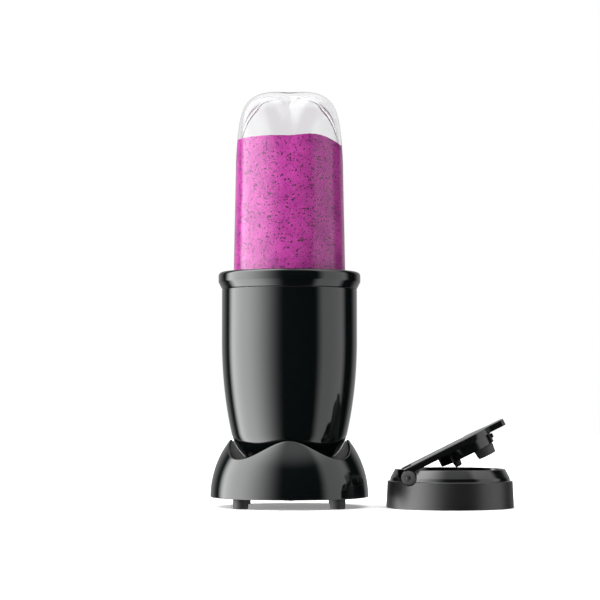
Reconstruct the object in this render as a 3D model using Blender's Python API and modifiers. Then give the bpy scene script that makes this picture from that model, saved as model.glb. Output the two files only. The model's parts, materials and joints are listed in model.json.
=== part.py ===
"""Personal countertop blender with its flip-top drinking lid, as an assembly of separate pieces.

Metres, +Z up. The origin is on the worktop, under the middle of the whole set. The blender stands
on the -X side and its lid lies beside it on the +X side. The camera-side front is -Y.
Sizes below are in millimetres and are scaled once by MM.
"""

import math

import bmesh
import bpy
from mathutils import Matrix, Vector

MM = 0.001

# Fits between pieces
GAP = 0.3            # between pieces that touch
BORE_GAP = 0.3       # radial, between a shaft and the bore round it
SLIDE_GAP = 0.45     # beside a plunger, a tab or a foot in its slot
LIFT_GAP = 0.7       # radial, between the collar lip and what is lifted through it

# The set on the worktop
SET_GAP = 12.3       # between the skirt and the lid
LID_FORWARD = 11.5   # the lid lies this far in front of the blender's axis

# Feet and the bottom of the base
FOOT_R = 5.5
FOOT_HEIGHT = 7.7
FOOT_OUT = 34.0      # from the axis, along X and along Y
COVER_THICK = 2.5
FRAME_THICK = 3.0
SCREW_OUT = 44.0
SCREW_R = 1.5
SCREW_HEAD_R = 3.0
SCREW_HEAD_HIGH = 1.5
VENT_COUNT = 8
VENT_IN = 8.0
VENT_OUT = 21.0
VENT_HALF = 1.5
BOARD_IN = 32.0          # the rectifier board stands between these two reaches, on the left
BOARD_OUT = 45.0
BOARD_HALF = 12.0
BOARD_THICK = 1.6
CAPACITOR_HIGH = 8.0
CAPACITOR_INSET = 2.0
CAPACITOR_HALF = 8.0

# Flared skirt round the foot of the housing
SKIRT_BOTTOM = 7.0
SKIRT_DOME = 62.0    # height over which the skirt's elliptic wall would close
SKIRT_WALL = 2.2
SKIRT_CLEAR = 0.25     # between the housing and the skirt's lobes
SKIRT_PEAK = 48.0    # top edge at the four lobes
SKIRT_VALLEY = 34.8  # top edge on the diagonals
WEB_LOW = 33.0       # the webs inside the lobes, which hold the bowl's sides
WEB_TOP = 47.0
WEB_THICK = 2.0
GLAND_Z = 22.0        # the cord's inlet, at the back
GLAND_R = 5.0
GLAND_BORE_R = 1.9
GLAND_OUT = 1.2       # the inlet stands this far out of the skirt

# Bullet-shaped housing
WELL_ROOM = 8.1         # from the cup's wall out to the housing's outer side
HOUSING_WALL = 2.3
HOUSING_TOP = 156.0
HOUSING_TAPER = 129.0   # height over which the taper below would close
TAPER_HIGH = 68.0       # from the bowl up to the straight part
BOWL_TOP = 52.0
BOWL_RADIUS = 31.0
STEM_R = 26.0

# Collar with three bayonet slots
COLLAR_PROUD = 2.5
COLLAR_HIGH = 12.0
COLLAR_EDGE = 2.5
LIP_THICK = 7.8

# Cup, upside down on the base
CUP_R = 40.6         # just above the blade holder
THREAD_IN = 1.9      # the cup's threaded mouth is this much smaller in radius
CUP_TAPER = 0.0197
CUP_WALL = 2.0
CUP_STRAIGHT = 86.2  # from the step over the holder up to the dome
CUP_DOME = 58.3
CUP_LOBE = 1.4       # the four lobes on the closed end rise this far above its middle
CUP_DISH = 0.6       # depth of the shallow dish in that middle
TAB_LONG = 12.0
TAB_PROUD = 2.8
TAB_HIGH = 5.0
TAB_COUNT = 3
TAB_FIRST = math.radians(-90)
PLUNGER_TURN = math.radians(8)
DRINK_ABOVE = 24.5     # level over the foot of the dome
DRINK_GAP = 1.0      # between the drink and the faceted wall round it

# Blade holder, its bush and the blades
HOLDER_DEEP = 29.0     # from the housing's top down to the holder's bottom
HOLDER_SINK = 2.5      # and down to the holder's top
HOLDER_FLOOR_UP = 14.0
HOLDER_FLOOR_THICK = 2.0
GASKET_THICK = 1.6
GASKET_WIDE = 2.9
BUSH_R = 7.0
BUSH_LENGTH = 9.2
BLADE_SHAFT_R = 3.0
BLADE_REACH = 23.0
BLADE_THICK = 1.2
BLADE_WIDE = 10.0

# Cup well, couplings and plungers
WELL_WALL = 1.6
WELL_DEEP = 38.0       # from the housing's top down to the well's floor
WELL_FLOOR_THICK = 2.0
COUPLING_R = 10.5
LUG_IN = 7.2
LUG_WIDE = 2.4
LUG_COUNT = 6
LUG_HIGH = 5.5
HUB_HIGH = 4.5
PLUNGER_THICK = 2.6
PLUNGER_WIDE = 8.0
PLUNGER_FOOT_HIGH = 1.9
SPRING_WIRE = 0.5
SPRING_R = 1.8
SPRING_TURNS = 3
SPRING_SIDES = 7
SPRING_LONG = 5.6
LEVER_PIVOT = 26.0
LEVER_THICK = 1.0
LEVER_HALF = 2.5
LEVER_SHORT = 1.0        # the lever reaches this far inward of its pivot
SWITCH_HIGH = 3.6
SWITCH_HALF = 3.0
SWITCH_IN = 8.0
SWITCH_OUT = 3.0
SWITCH_PLATE_IN = 17.0

# Motor
MOTOR_SHAFT_R = 2.5
FAN_R = 24.0
FAN_BLADES = 8
BEARING_R = 8.0
BEARING_HIGH = 5.0
COMMUTATOR_R = 9.0
ARMATURE_R = 16.0
STATOR_R = 31.0
STATOR_HIGH = 20.0
COIL_HIGH = 6.4
BRACKET_THICK = 3.0
BRACKET_HALF = 7.0
BRACKET_REACH = {"lower": 36.0, "upper": 42.0}
FAN_LOW = 42.0
FAN_HIGH = 5.0
FAN_HUB_R = 8.0
FAN_CLEAR = 2.0           # above the fan and under it
COMMUTATOR_HIGH = 8.0
COMMUTATOR_CLEAR = 1.5    # above the lower bearing
BAR_COUNT = 12
BAR_DEEP = 0.6
SLOT_DEEP = 2.5
ARMATURE_GAP = 1.5       # between the armature and the stator
COIL_INSET = 3.0
MOUNT_R = 42.0
MOUNT_IN = 34.0
BRUSH_HALF = 2.2
BRUSH_OUT = 21.0
BRUSH_HOLDER_IN = 12.0
BRUSH_HOLDER_OUT = 25.0
BRUSH_WALL = 1.5

# Drinking lid
LID_ROOM = 6.7      # from the cup's thread out to the lid's outer side
LID_LEAN = 0.9
LID_WALL_TOP = 19.0
LEDGE_WIDE = 1.7
RIM_IN = 5.3
RIM_HIGH = 27.5
RIM_WIDE = 1.4
DECK_TOP = 17.6
DECK_THICK = 2.4
LID_SKIRT_WALL = 2.2
THREAD_WALL = 1.8
HINGE_IN = 6.8      # from the recess wall to the hinge's axis
HINGE_Z = 21.8
KNUCKLE_R = 5.0
KNUCKLE_OUT = 27.5
LUG_HALF = 7.6
PIN_R = 1.5
FLAP_OPEN = math.radians(26.6)
FLAP_OVER = 9.4     # the thumb tab reaches this far past the rim
FLAP_TOP = 6.15
FLAP_THICK = 4.3
FLAP_HALF = 23.0
DRUM_CLEAR = 1.5    # from the drum to the recess wall
DRUM_R = 20.8
DRUM_LOW = -5.0
PLUG_OFF = 11.9     # from the drum's middle
PLUG_R = 7.4
PLUG_LOW = -12.3
VENT_PLUG_OFF = 9.5
VENT_PLUG_R = 3.2
VENT_PLUG_LOW = -10.0

# Heights and radii that follow from the sizes above
HOUSING_R = CUP_R + WELL_ROOM
HOUSING_STRAIGHT = BOWL_TOP + TAPER_HIGH
COLLAR_R = HOUSING_R + COLLAR_PROUD
CUP_THREAD_R = CUP_R - THREAD_IN
TAB_OUT = CUP_R + TAB_PROUD
HOLDER_TOP = HOUSING_TOP - HOLDER_SINK
HOLDER_BOTTOM = HOUSING_TOP - HOLDER_DEEP
HOLDER_FLOOR = HOLDER_BOTTOM + HOLDER_FLOOR_UP
WELL_FLOOR = HOUSING_TOP - WELL_DEEP
LID_R = CUP_THREAD_R + LID_ROOM
LID_TOP_R = LID_R - LID_LEAN
SHOULDER_R = LID_TOP_R - LEDGE_WIDE
RIM_R = LID_TOP_R - RIM_IN
RECESS_R = RIM_R - RIM_WIDE
HINGE_X = HINGE_IN - RECESS_R
FLAP_TIP = RIM_R - HINGE_X + FLAP_OVER
DRUM_X = RECESS_R - HINGE_X - DRUM_R - DRUM_CLEAR
PLUG_X = DRUM_X + PLUG_OFF
VENT_PLUG_X = DRUM_X - VENT_PLUG_OFF
COVER_LOW = FOOT_HEIGHT + GAP
FRAME_LOW = COVER_LOW + COVER_THICK + GAP
FRAME_TOP = FRAME_LOW + FRAME_THICK
COLLAR_LOW = HOUSING_TOP + GAP
COLLAR_TOP = COLLAR_LOW + COLLAR_HIGH
LIP_LOW = COLLAR_TOP - LIP_THICK
LIP_R = CUP_R + LIFT_GAP
HOLDER_R = CUP_R
WELL_R = HOUSING_R - HOUSING_WALL - GAP
WELL_IN = WELL_R - WELL_WALL
WELL_FLOOR_TOP = WELL_FLOOR + WELL_FLOOR_THICK
GASKET_LOW = HOLDER_FLOOR + HOLDER_FLOOR_THICK + GAP
CUP_MOUTH = GASKET_LOW + GASKET_THICK + GAP
CUP_STEP = HOLDER_TOP + GAP
CUP_DOME_FROM = CUP_STEP + CUP_STRAIGHT
DRINK_LEVEL = CUP_DOME_FROM + DRINK_ABOVE
TAB_LOW = LIP_LOW - TAB_HIGH - SLIDE_GAP
PLUNGER_TOP = TAB_LOW - GAP
PLUNGER_OUT = WELL_IN - SLIDE_GAP - 0.1
PLUNGER_MID = PLUNGER_OUT - PLUNGER_THICK / 2
PLUNGER_BOTTOM = WELL_FLOOR - PLUNGER_FOOT_HIGH - 0.6
PLATE_TOP = PLUNGER_BOTTOM - SPRING_LONG - 2 * GAP
PLATE_THICK = 2.0
LEVER_TIP = PLUNGER_MID - SPRING_R - SPRING_WIRE - 0.5
HUB_LOW = HOLDER_FLOOR - 1.8
HUB_TOP = HOLDER_FLOOR + HOLDER_FLOOR_THICK + 3
BLADE_LOW = HUB_TOP + 2.6
BLADE_TOP = BLADE_LOW + 14.5
DRIVEN_LOW = HUB_LOW - HUB_HIGH
LID_BODY_WALL = LID_TOP_R - LID_SKIRT_WALL
TRENCH_R = KNUCKLE_R + GAP + 0.1
FLAP_UNDER = FLAP_TOP - FLAP_THICK
FLAP_SHUT = math.asin((RIM_HIGH + GAP - HINGE_Z - FLAP_UNDER) / (RIM_R - HINGE_X - GAP))


def housing_taper():
    """Radius and slope of the housing where its taper meets the bowl."""
    depth = TAPER_HIGH / HOUSING_TAPER
    slope = math.atan(HOUSING_R / HOUSING_TAPER * depth / math.sqrt(1 - depth ** 2))
    return HOUSING_R * math.sqrt(1 - depth ** 2), slope


def bowl_centre():
    """Middle of the bowl's arc."""
    radius, slope = housing_taper()
    return radius - BOWL_RADIUS * math.cos(slope), BOWL_TOP + BOWL_RADIUS * math.sin(slope)


def bowl_at(z):
    """The bowl's radius at this height."""
    cx, cz = bowl_centre()
    return cx + math.sqrt(BOWL_RADIUS ** 2 - (cz - z) ** 2)


def skirt_size():
    """The skirt's radius at its foot, so that its lobes just clear the bowl."""
    share = math.sqrt(1 - ((SKIRT_PEAK - SKIRT_BOTTOM) / SKIRT_DOME) ** 2)
    return (bowl_at(SKIRT_PEAK) + SKIRT_CLEAR + SKIRT_WALL) / share


SKIRT_R = skirt_size()
SET_SPACING = SKIRT_R + SET_GAP + LID_R
BLENDER_X = -(SET_SPACING + LID_R - SKIRT_R) / 2
LID_X = BLENDER_X + SET_SPACING

PARTS = None
CUTTERS = None
FINISHES = {}


# ---------------------------------------------------------------- scene and finishes

def clear_scene():
    for obj in list(bpy.data.objects):
        bpy.data.objects.remove(obj)


def new_collection(name):
    made = bpy.data.collections.new(name)
    bpy.context.scene.collection.children.link(made)
    return made


def finish(name, color, roughness, metallic=0.0, alpha=1.0):
    """A Principled material, made once for each name."""
    if name not in FINISHES:
        made = bpy.data.materials.new(name)
        made.use_nodes = True
        shader = made.node_tree.nodes["Principled BSDF"]
        shader.inputs["Base Color"].default_value = (*color, 1)
        shader.inputs["Roughness"].default_value = roughness
        shader.inputs["Metallic"].default_value = metallic
        shader.inputs["Alpha"].default_value = alpha
        FINISHES[name] = made
    return FINISHES[name]


def gloss_black():
    return finish("gloss_black", (0.012, 0.014, 0.015), 0.12)


def satin_black():
    return finish("satin_black", (0.03, 0.03, 0.032), 0.38)


def matt_black():
    return finish("matt_black", (0.05, 0.05, 0.05), 0.6)


def soft_rubber():
    return finish("soft_rubber", (0.035, 0.035, 0.035), 0.75)


def bright_steel():
    return finish("bright_steel", (0.62, 0.62, 0.6), 0.25, 1.0)


def copper_wire():
    return finish("copper_wire", (0.72, 0.33, 0.16), 0.4, 1.0)


def pale_plastic():
    return finish("pale_plastic", (0.78, 0.77, 0.73), 0.45)


def clear_cup():
    return finish("clear_cup", (0.92, 0.93, 0.94), 0.05, 0.0, 0.3)


def berry_drink():
    return finish("berry_drink", (0.38, 0.05, 0.27), 0.5)


def keep(obj, material, parent=None, smooth=True):
    """Files a finished piece in the object's own collection."""
    for user in list(obj.users_collection):
        user.objects.unlink(obj)
    PARTS.objects.link(obj)
    obj.data.materials.clear()
    obj.data.materials.append(material)
    obj.parent = parent
    if smooth and obj.type == "MESH":
        obj.data.shade_smooth()
        obj.data.set_sharp_from_angle(angle=math.radians(35))
    return obj


def helper(obj, parent=None):
    """Files a cutter, or a shape that a Boolean joins on, out of the render."""
    for user in list(obj.users_collection):
        user.objects.unlink(obj)
    CUTTERS.objects.link(obj)
    obj.parent = parent
    obj.hide_render = True
    obj.display_type = "WIRE"
    return obj


def boolean(obj, other, operation):
    made = obj.modifiers.new(operation.lower(), "BOOLEAN")
    made.operation = operation
    made.object = other


# ---------------------------------------------------------------- shape makers, in millimetres

def scaled(points):
    return [tuple(value * MM for value in point) for point in points]


def mesh_object(name, bm):
    data = bpy.data.meshes.new(name)
    bm.to_mesh(data)
    bm.free()
    made = bpy.data.objects.new(name, data)
    bpy.context.scene.collection.objects.link(made)
    return made


def arc(cx, cz, radius, start, end, steps):
    """Points on a circle, with the angles in degrees from +X towards +Z."""
    angles = [math.radians(start + (end - start) * i / steps) for i in range(steps + 1)]
    return [(cx + radius * math.cos(a), cz + radius * math.sin(a)) for a in angles]


def turned(name, outline, steps=24, solid=False):
    """A turned piece. Its outline runs down the outer side and, for a ring, back up the inner one."""
    data = bpy.data.meshes.new(name)
    points = scaled((r, 0, z) for r, z in outline)
    edges = [(i, i + 1) for i in range(len(points) - 1)]
    if not solid:
        edges.append((len(points) - 1, 0))
    data.from_pydata(points, edges, [])
    made = bpy.data.objects.new(name, data)
    bpy.context.scene.collection.objects.link(made)
    screw = made.modifiers.new("turn", "SCREW")
    screw.steps = steps
    screw.render_steps = steps
    screw.use_merge_vertices = True
    screw.merge_threshold = 0.00001
    screw.use_smooth_shade = True
    return made


def ring(name, outer, inner, low, high, steps=24):
    return turned(name, [(outer, high), (outer, low), (inner, low), (inner, high)], steps)


def shaped(name, section, steps, closed):
    """A piece whose section in (radius, height) changes with the angle round the axis."""
    bm = bmesh.new()
    rows = []
    for i in range(steps):
        angle = 2 * math.pi * i / steps
        turn = Matrix.Rotation(angle, 3, "Z")
        rows.append([bm.verts.new(turn @ Vector(p)) for p in scaled((r, 0, z) for r, z in section(angle))])
    for row, after in zip(rows, rows[1:] + rows[:1]):
        for j in range(len(row) if closed else len(row) - 1):
            k = (j + 1) % len(row)
            bm.faces.new((row[j], row[k], after[k], after[j]))
    bmesh.ops.remove_doubles(bm, verts=bm.verts, dist=0.000001)
    bmesh.ops.recalc_face_normals(bm, faces=bm.faces)
    return mesh_object(name, bm)


def block_into(bm, low, high, turn=0.0):
    """Adds a box between two corners, turned round the Z axis through the origin."""
    size = [(h - l) * MM for l, h in zip(low, high)]
    middle = [(h + l) / 2 * MM for l, h in zip(low, high)]
    place = Matrix.Rotation(turn, 4, "Z") @ Matrix.Translation(middle) @ Matrix.Diagonal((*size, 1))
    bmesh.ops.create_cube(bm, size=1, matrix=place)


def block(name, low, high, turn=0.0):
    bm = bmesh.new()
    block_into(bm, low, high, turn)
    return mesh_object(name, bm)


def blocks(name, low, high, turns):
    bm = bmesh.new()
    for turn in turns:
        block_into(bm, low, high, turn)
    return mesh_object(name, bm)


def rod(name, radius, start, end, top_radius=None, sides=16):
    """A cylinder or a cone between two points."""
    start = Vector(start) * MM
    end = Vector(end) * MM
    along = end - start
    place = Matrix.Translation((start + end) / 2) @ along.to_track_quat("Z", "Y").to_matrix().to_4x4()
    bm = bmesh.new()
    bmesh.ops.create_cone(
        bm, cap_ends=True, segments=sides, radius1=radius * MM,
        radius2=(radius if top_radius is None else top_radius) * MM, depth=along.length, matrix=place,
    )
    return mesh_object(name, bm)


def plate(name, outlines, low, high):
    """A flat piece from one outer outline and any hole outlines, as a filled curve made a mesh."""
    curve = bpy.data.curves.new(name, "CURVE")
    curve.dimensions = "2D"
    curve.fill_mode = "BOTH"
    curve.extrude = (high - low) / 2 * MM
    for outline in outlines:
        spline = curve.splines.new("POLY")
        spline.points.add(len(outline) - 1)
        spline.use_cyclic_u = True
        for point, (x, y) in zip(spline.points, outline):
            point.co = (x * MM, y * MM, 0, 1)
    guide = bpy.data.objects.new(name, curve)
    bpy.context.scene.collection.objects.link(guide)
    data = bpy.data.meshes.new_from_object(guide.evaluated_get(bpy.context.evaluated_depsgraph_get()))
    bpy.data.objects.remove(guide)
    bm = bmesh.new()
    bm.from_mesh(data)
    bpy.data.meshes.remove(data)
    bmesh.ops.remove_doubles(bm, verts=bm.verts, dist=0.000001)
    bmesh.ops.translate(bm, verts=bm.verts, vec=(0, 0, (high + low) / 2 * MM))
    bmesh.ops.recalc_face_normals(bm, faces=bm.faces)
    return mesh_object(name, bm)


def circle(radius, sides, cx=0.0, cy=0.0):
    return arc(cx, cy, radius, 0, 360 - 360 / sides, sides - 1)


def toothed(count, root, tip, share):
    """A round outline with this many teeth, each a share of its pitch wide."""
    pitch = 360 / count
    points = []
    for i in range(count):
        half = pitch * share / 2
        points += arc(0, 0, tip, i * pitch - half, i * pitch + half, 1)
        points += arc(0, 0, root, i * pitch + half, (i + 1) * pitch - half, 1)
    return points


# ---------------------------------------------------------------- base

def skirt_radius(z):
    return SKIRT_R * math.sqrt(1 - ((z - SKIRT_BOTTOM) / SKIRT_DOME) ** 2)


def skirt_section(angle):
    """The flared wall at this angle. Its top edge rises to four lobes."""
    middle = (SKIRT_PEAK + SKIRT_VALLEY) / 2
    top = middle + (SKIRT_PEAK - SKIRT_VALLEY) / 2 * math.cos(4 * angle)
    steps = 5
    heights = [top + (SKIRT_BOTTOM - top) * i / steps for i in range(steps + 1)]
    outer = [(skirt_radius(z), z) for z in heights]
    inner = [(r - SKIRT_WALL, z) for r, z in reversed(outer)]
    return outer + inner


def web_outline():
    """A web along a radius: just clear of the bowl on one side, inside the skirt's wall on the other."""
    steps = 5
    heights = [WEB_LOW + (WEB_TOP - WEB_LOW) * i / steps for i in range(steps + 1)]
    inner = [(bowl_at(z) + 1.5 * GAP, z) for z in heights]
    return [(skirt_radius(z) - SKIRT_WALL / 2, z) for z in heights] + inner[::-1]


def make_skirt(axis):
    skirt = keep(shaped("skirt", skirt_section, 40, True), gloss_black(), axis)
    for i, turn in enumerate(quarter_turns()):
        web = helper(plate("skirt_web_" + str(i + 1), [web_outline()], -WEB_THICK / 2, WEB_THICK / 2), axis)
        web.rotation_euler = (math.pi / 2, 0, turn)
        boolean(skirt, web, "UNION")
    hole = helper(rod("gland_hole", GLAND_R + GAP, (0, 40, GLAND_Z), (0, 70, GLAND_Z)), axis)
    boolean(skirt, hole, "DIFFERENCE")


def make_gland(axis):
    """The cord's inlet at the back: a short bush with a small blind bore."""
    out = skirt_radius(GLAND_Z) + GLAND_OUT
    gland = rod("cord_gland", GLAND_R, (0, 46, GLAND_Z), (0, out, GLAND_Z), GLAND_R - 0.8)
    keep(gland, soft_rubber(), axis)
    bore = helper(rod("gland_bore", GLAND_BORE_R, (0, out - 8, GLAND_Z), (0, out + 4, GLAND_Z)), axis)
    boolean(gland, bore, "DIFFERENCE")


def housing_outline(inset, bottom):
    """The housing's outer side from its top down, or with an inset its inner side."""
    taper = [HOUSING_STRAIGHT + (BOWL_TOP - HOUSING_STRAIGHT) * i / 3 for i in range(4)]
    side = [(HOUSING_R * math.sqrt(1 - ((HOUSING_STRAIGHT - z) / HOUSING_TAPER) ** 2), z) for z in taper]
    _, lean = housing_taper()
    cx, cz = bowl_centre()
    last = math.degrees(math.acos((STEM_R - cx) / BOWL_RADIUS))
    bowl = arc(cx, cz, BOWL_RADIUS - inset, -math.degrees(lean), -last, 3)
    stem = (STEM_R - inset, bottom)
    return [(HOUSING_R - inset, HOUSING_TOP)] + [(r - inset, z) for r, z in side[:-1]] + bowl + [stem]


def make_housing(axis):
    outer = housing_outline(0, FRAME_LOW)
    inner = housing_outline(HOUSING_WALL, FRAME_LOW)
    keep(turned("housing", outer + inner[::-1], 36), gloss_black(), axis)


def make_collar(axis):
    edge = arc(COLLAR_R - COLLAR_EDGE, COLLAR_TOP - COLLAR_EDGE, COLLAR_EDGE, 90, 0, 3)
    outer = edge + [(COLLAR_R, COLLAR_LOW + 5), (HOUSING_R + 0.4, COLLAR_LOW + 0.8),
                    (HOUSING_R, COLLAR_LOW)]
    inner = [(WELL_IN, COLLAR_LOW), (WELL_IN, LIP_LOW), (LIP_R, LIP_LOW),
             (LIP_R, COLLAR_TOP - 1), (LIP_R + 1, COLLAR_TOP)]
    collar = keep(turned("collar_ring", outer + inner, 36), gloss_black(), axis)
    reach = TAB_OUT + SLIDE_GAP + 0.6
    half = TAB_LONG / 2 + 0.8
    low, high = (LIP_R - 4, -half, LIP_LOW - 1), (reach, half, COLLAR_TOP + 2)
    slots = helper(blocks("bayonet_slots", low, high, tab_turns()), axis)
    boolean(collar, slots, "DIFFERENCE")


def tab_turns():
    return [TAB_FIRST + 2 * math.pi * i / TAB_COUNT for i in range(TAB_COUNT)]


def quarter_turns():
    return [math.pi / 2 * i for i in range(4)]


def box_outline(x_low, x_high, half, turn):
    """A rectangle along a radius, turned round the axis."""
    corners = [(x_low, -half), (x_high, -half), (x_high, half), (x_low, half)]
    c, s = math.cos(turn), math.sin(turn)
    return [(x * c - y * s, x * s + y * c) for x, y in corners]


def screw_holes():
    places = [(SCREW_OUT * math.cos(turn), SCREW_OUT * math.sin(turn)) for turn in quarter_turns()]
    return [circle(SCREW_R + BORE_GAP, 10, x, y) for x, y in places]


def make_bottom(axis):
    """The closing cover with its air slots, and the frame that the cover screws into."""
    edge = skirt_radius(COVER_LOW) - SKIRT_WALL - 2 * GAP
    turns = [2 * math.pi * i / VENT_COUNT for i in range(VENT_COUNT)]
    slots = [box_outline(VENT_IN, VENT_OUT, VENT_HALF, turn) for turn in turns]
    outlines = [circle(edge, 32)] + screw_holes() + slots
    keep(plate("bottom_cover", outlines, COVER_LOW, COVER_LOW + COVER_THICK), satin_black(), axis)
    frame_r = skirt_radius(FRAME_TOP) - SKIRT_WALL - 2 * GAP
    outlines = [circle(frame_r, 32), circle(STEM_R + 3 * GAP, 24)] + screw_holes()
    keep(plate("base_frame", outlines, FRAME_LOW, FRAME_TOP), matt_black(), axis)


def make_feet_and_screws(axis):
    sides = {"right_back": (1, 1), "left_back": (-1, 1), "left_front": (-1, -1), "right_front": (1, -1)}
    for side, (sx, sy) in sides.items():
        outline = [(0, FOOT_HEIGHT), (FOOT_R, FOOT_HEIGHT), (FOOT_R, 0.5), (FOOT_R - 0.5, 0), (0, 0)]
        foot = keep(turned("foot_" + side, outline, 14, solid=True), soft_rubber(), axis)
        foot.location = (sx * FOOT_OUT * MM, sy * FOOT_OUT * MM, 0)
    for turn, side in zip(quarter_turns(), ("right", "back", "left", "front")):
        head = COVER_LOW - GAP
        outline = [(0, FRAME_TOP - 0.5), (SCREW_R, FRAME_TOP - 0.5), (SCREW_R, head), (SCREW_HEAD_R, head),
                   (SCREW_HEAD_R, head - SCREW_HEAD_HIGH), (0, head - SCREW_HEAD_HIGH)]
        screw = keep(turned("cover_screw_" + side, outline, 12, solid=True), bright_steel(), axis)
        screw.location = (SCREW_OUT * math.cos(turn) * MM, SCREW_OUT * math.sin(turn) * MM, 0)


def make_board(axis):
    low = FRAME_TOP + GAP
    top = low + BOARD_THICK
    board = block("rectifier_board", (-BOARD_OUT, -BOARD_HALF, low), (-BOARD_IN, BOARD_HALF, top))
    keep(board, finish("circuit_board", (0.05, 0.22, 0.1), 0.5), axis)
    capacitor = block("suppression_capacitor", (CAPACITOR_INSET - BOARD_OUT, -CAPACITOR_HALF, top + GAP),
                      (-CAPACITOR_INSET - BOARD_IN, CAPACITOR_HALF, top + GAP + CAPACITOR_HIGH))
    keep(capacitor, pale_plastic(), axis)


# ---------------------------------------------------------------- cup well, plungers and switch

def make_well(axis):
    hole_r = BEARING_R
    outline = [(WELL_R, HOUSING_TOP), (WELL_R, WELL_FLOOR), (hole_r, WELL_FLOOR), (hole_r, WELL_FLOOR_TOP),
               (WELL_IN, WELL_FLOOR_TOP), (WELL_IN, HOUSING_TOP)]
    well = keep(turned("cup_well", outline, 32), matt_black(), axis)
    low = (PLUNGER_OUT - PLUNGER_THICK - SLIDE_GAP, -PLUNGER_WIDE / 2 - SLIDE_GAP, WELL_FLOOR - 1)
    high = (WELL_IN - 0.1, PLUNGER_WIDE / 2 + SLIDE_GAP, WELL_FLOOR_TOP + 1)
    boolean(well, helper(blocks("plunger_holes", low, high, plunger_turns()), axis), "DIFFERENCE")
    seal = ring("shaft_seal", hole_r - GAP, MOTOR_SHAFT_R + BORE_GAP, WELL_FLOOR, WELL_FLOOR_TOP + 0.5, 24)
    keep(seal, soft_rubber(), axis)


def plunger_turns():
    return [turn + PLUNGER_TURN for turn in tab_turns()]


def make_plungers(axis):
    """The three plungers that the cup's tabs press, and the springs under them."""
    inner = PLUNGER_OUT - PLUNGER_THICK
    for i, turn in enumerate(plunger_turns(), 1):
        plunger = block("activator_%d" % i, (inner, -PLUNGER_WIDE / 2, PLUNGER_BOTTOM),
                        (PLUNGER_OUT, PLUNGER_WIDE / 2, PLUNGER_TOP))
        keep(plunger, pale_plastic(), axis, smooth=False)
        plunger.rotation_euler.z = turn
        foot = block("activator_foot", (LEVER_TIP - 3, -PLUNGER_WIDE / 2, PLUNGER_BOTTOM),
                     (PLUNGER_OUT + 0.5, PLUNGER_WIDE / 2, PLUNGER_BOTTOM + PLUNGER_FOOT_HIGH))
        helper(foot, axis).rotation_euler.z = turn
        boolean(plunger, foot, "UNION")
        spring = keep(make_spring("activator_spring_%d" % i), bright_steel(), axis)
        spring.rotation_euler.z = turn


def make_spring(name):
    """A coil spring standing on the switch plate, its ends closed by the wire's own caps."""
    curve = bpy.data.curves.new(name, "CURVE")
    curve.dimensions = "3D"
    curve.bevel_depth = SPRING_WIRE / 2 * MM
    curve.bevel_resolution = 0
    curve.use_fill_caps = True
    spline = curve.splines.new("POLY")
    count = SPRING_TURNS * SPRING_SIDES + 1
    spline.points.add(count - 1)
    low = PLATE_TOP + GAP + SPRING_WIRE / 2
    rise = SPRING_LONG - SPRING_WIRE
    for i, point in enumerate(spline.points):
        angle = 2 * math.pi * i / SPRING_SIDES
        x, y = PLUNGER_MID + SPRING_R * math.cos(angle), SPRING_R * math.sin(angle)
        point.co = (x * MM, y * MM, (low + rise * i / (count - 1)) * MM, 1)
    made = bpy.data.objects.new(name, curve)
    bpy.context.scene.collection.objects.link(made)
    return made


def make_switch(axis):
    """The plate that carries springs and switch, and the switch with the lever a plunger presses."""
    turn = plunger_turns()[0]
    plate_r = WELL_R - 3 * GAP
    low = PLATE_TOP - PLATE_THICK
    keep(ring("switch_plate", plate_r, SWITCH_PLATE_IN, low, PLATE_TOP, 28), matt_black(), axis)
    base = PLATE_TOP + GAP
    switch = block("micro_switch", (LEVER_PIVOT - SWITCH_IN, -SWITCH_HALF, base),
                   (LEVER_PIVOT + SWITCH_OUT, SWITCH_HALF, base + SWITCH_HIGH))
    keep(switch, satin_black(), axis, smooth=False)
    switch.rotation_euler.z = turn
    lever_top = PLUNGER_BOTTOM - GAP
    pivot = bpy.data.objects.new("switch_pivot", None)
    PARTS.objects.link(pivot)
    pivot.parent = axis
    place = Matrix.Rotation(turn, 4, "Z") @ Vector((LEVER_PIVOT, 0, lever_top - LEVER_THICK / 2))
    pivot.location = place * MM
    pivot.rotation_euler.z = turn
    lever = block("switch_lever", (-LEVER_SHORT, -LEVER_HALF, -LEVER_THICK / 2),
                  (LEVER_TIP - LEVER_PIVOT, LEVER_HALF, LEVER_THICK / 2))
    keep(lever, bright_steel(), pivot, smooth=False)


# ---------------------------------------------------------------- motor

def motor_heights():
    """Low heights of the motor's pieces, stacked up from the fan."""
    fan = FAN_LOW
    lower_bearing = fan + FAN_HIGH + FAN_CLEAR
    commutator = lower_bearing + BEARING_HIGH + COMMUTATOR_CLEAR
    lower_coil = commutator + COMMUTATOR_HIGH + 1
    stator = lower_coil + COIL_HIGH + GAP
    upper_coil = stator + STATOR_HIGH + GAP
    upper_bearing = upper_coil + COIL_HIGH + GAP
    return fan, lower_bearing, commutator, lower_coil, stator, upper_coil, upper_bearing


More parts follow.
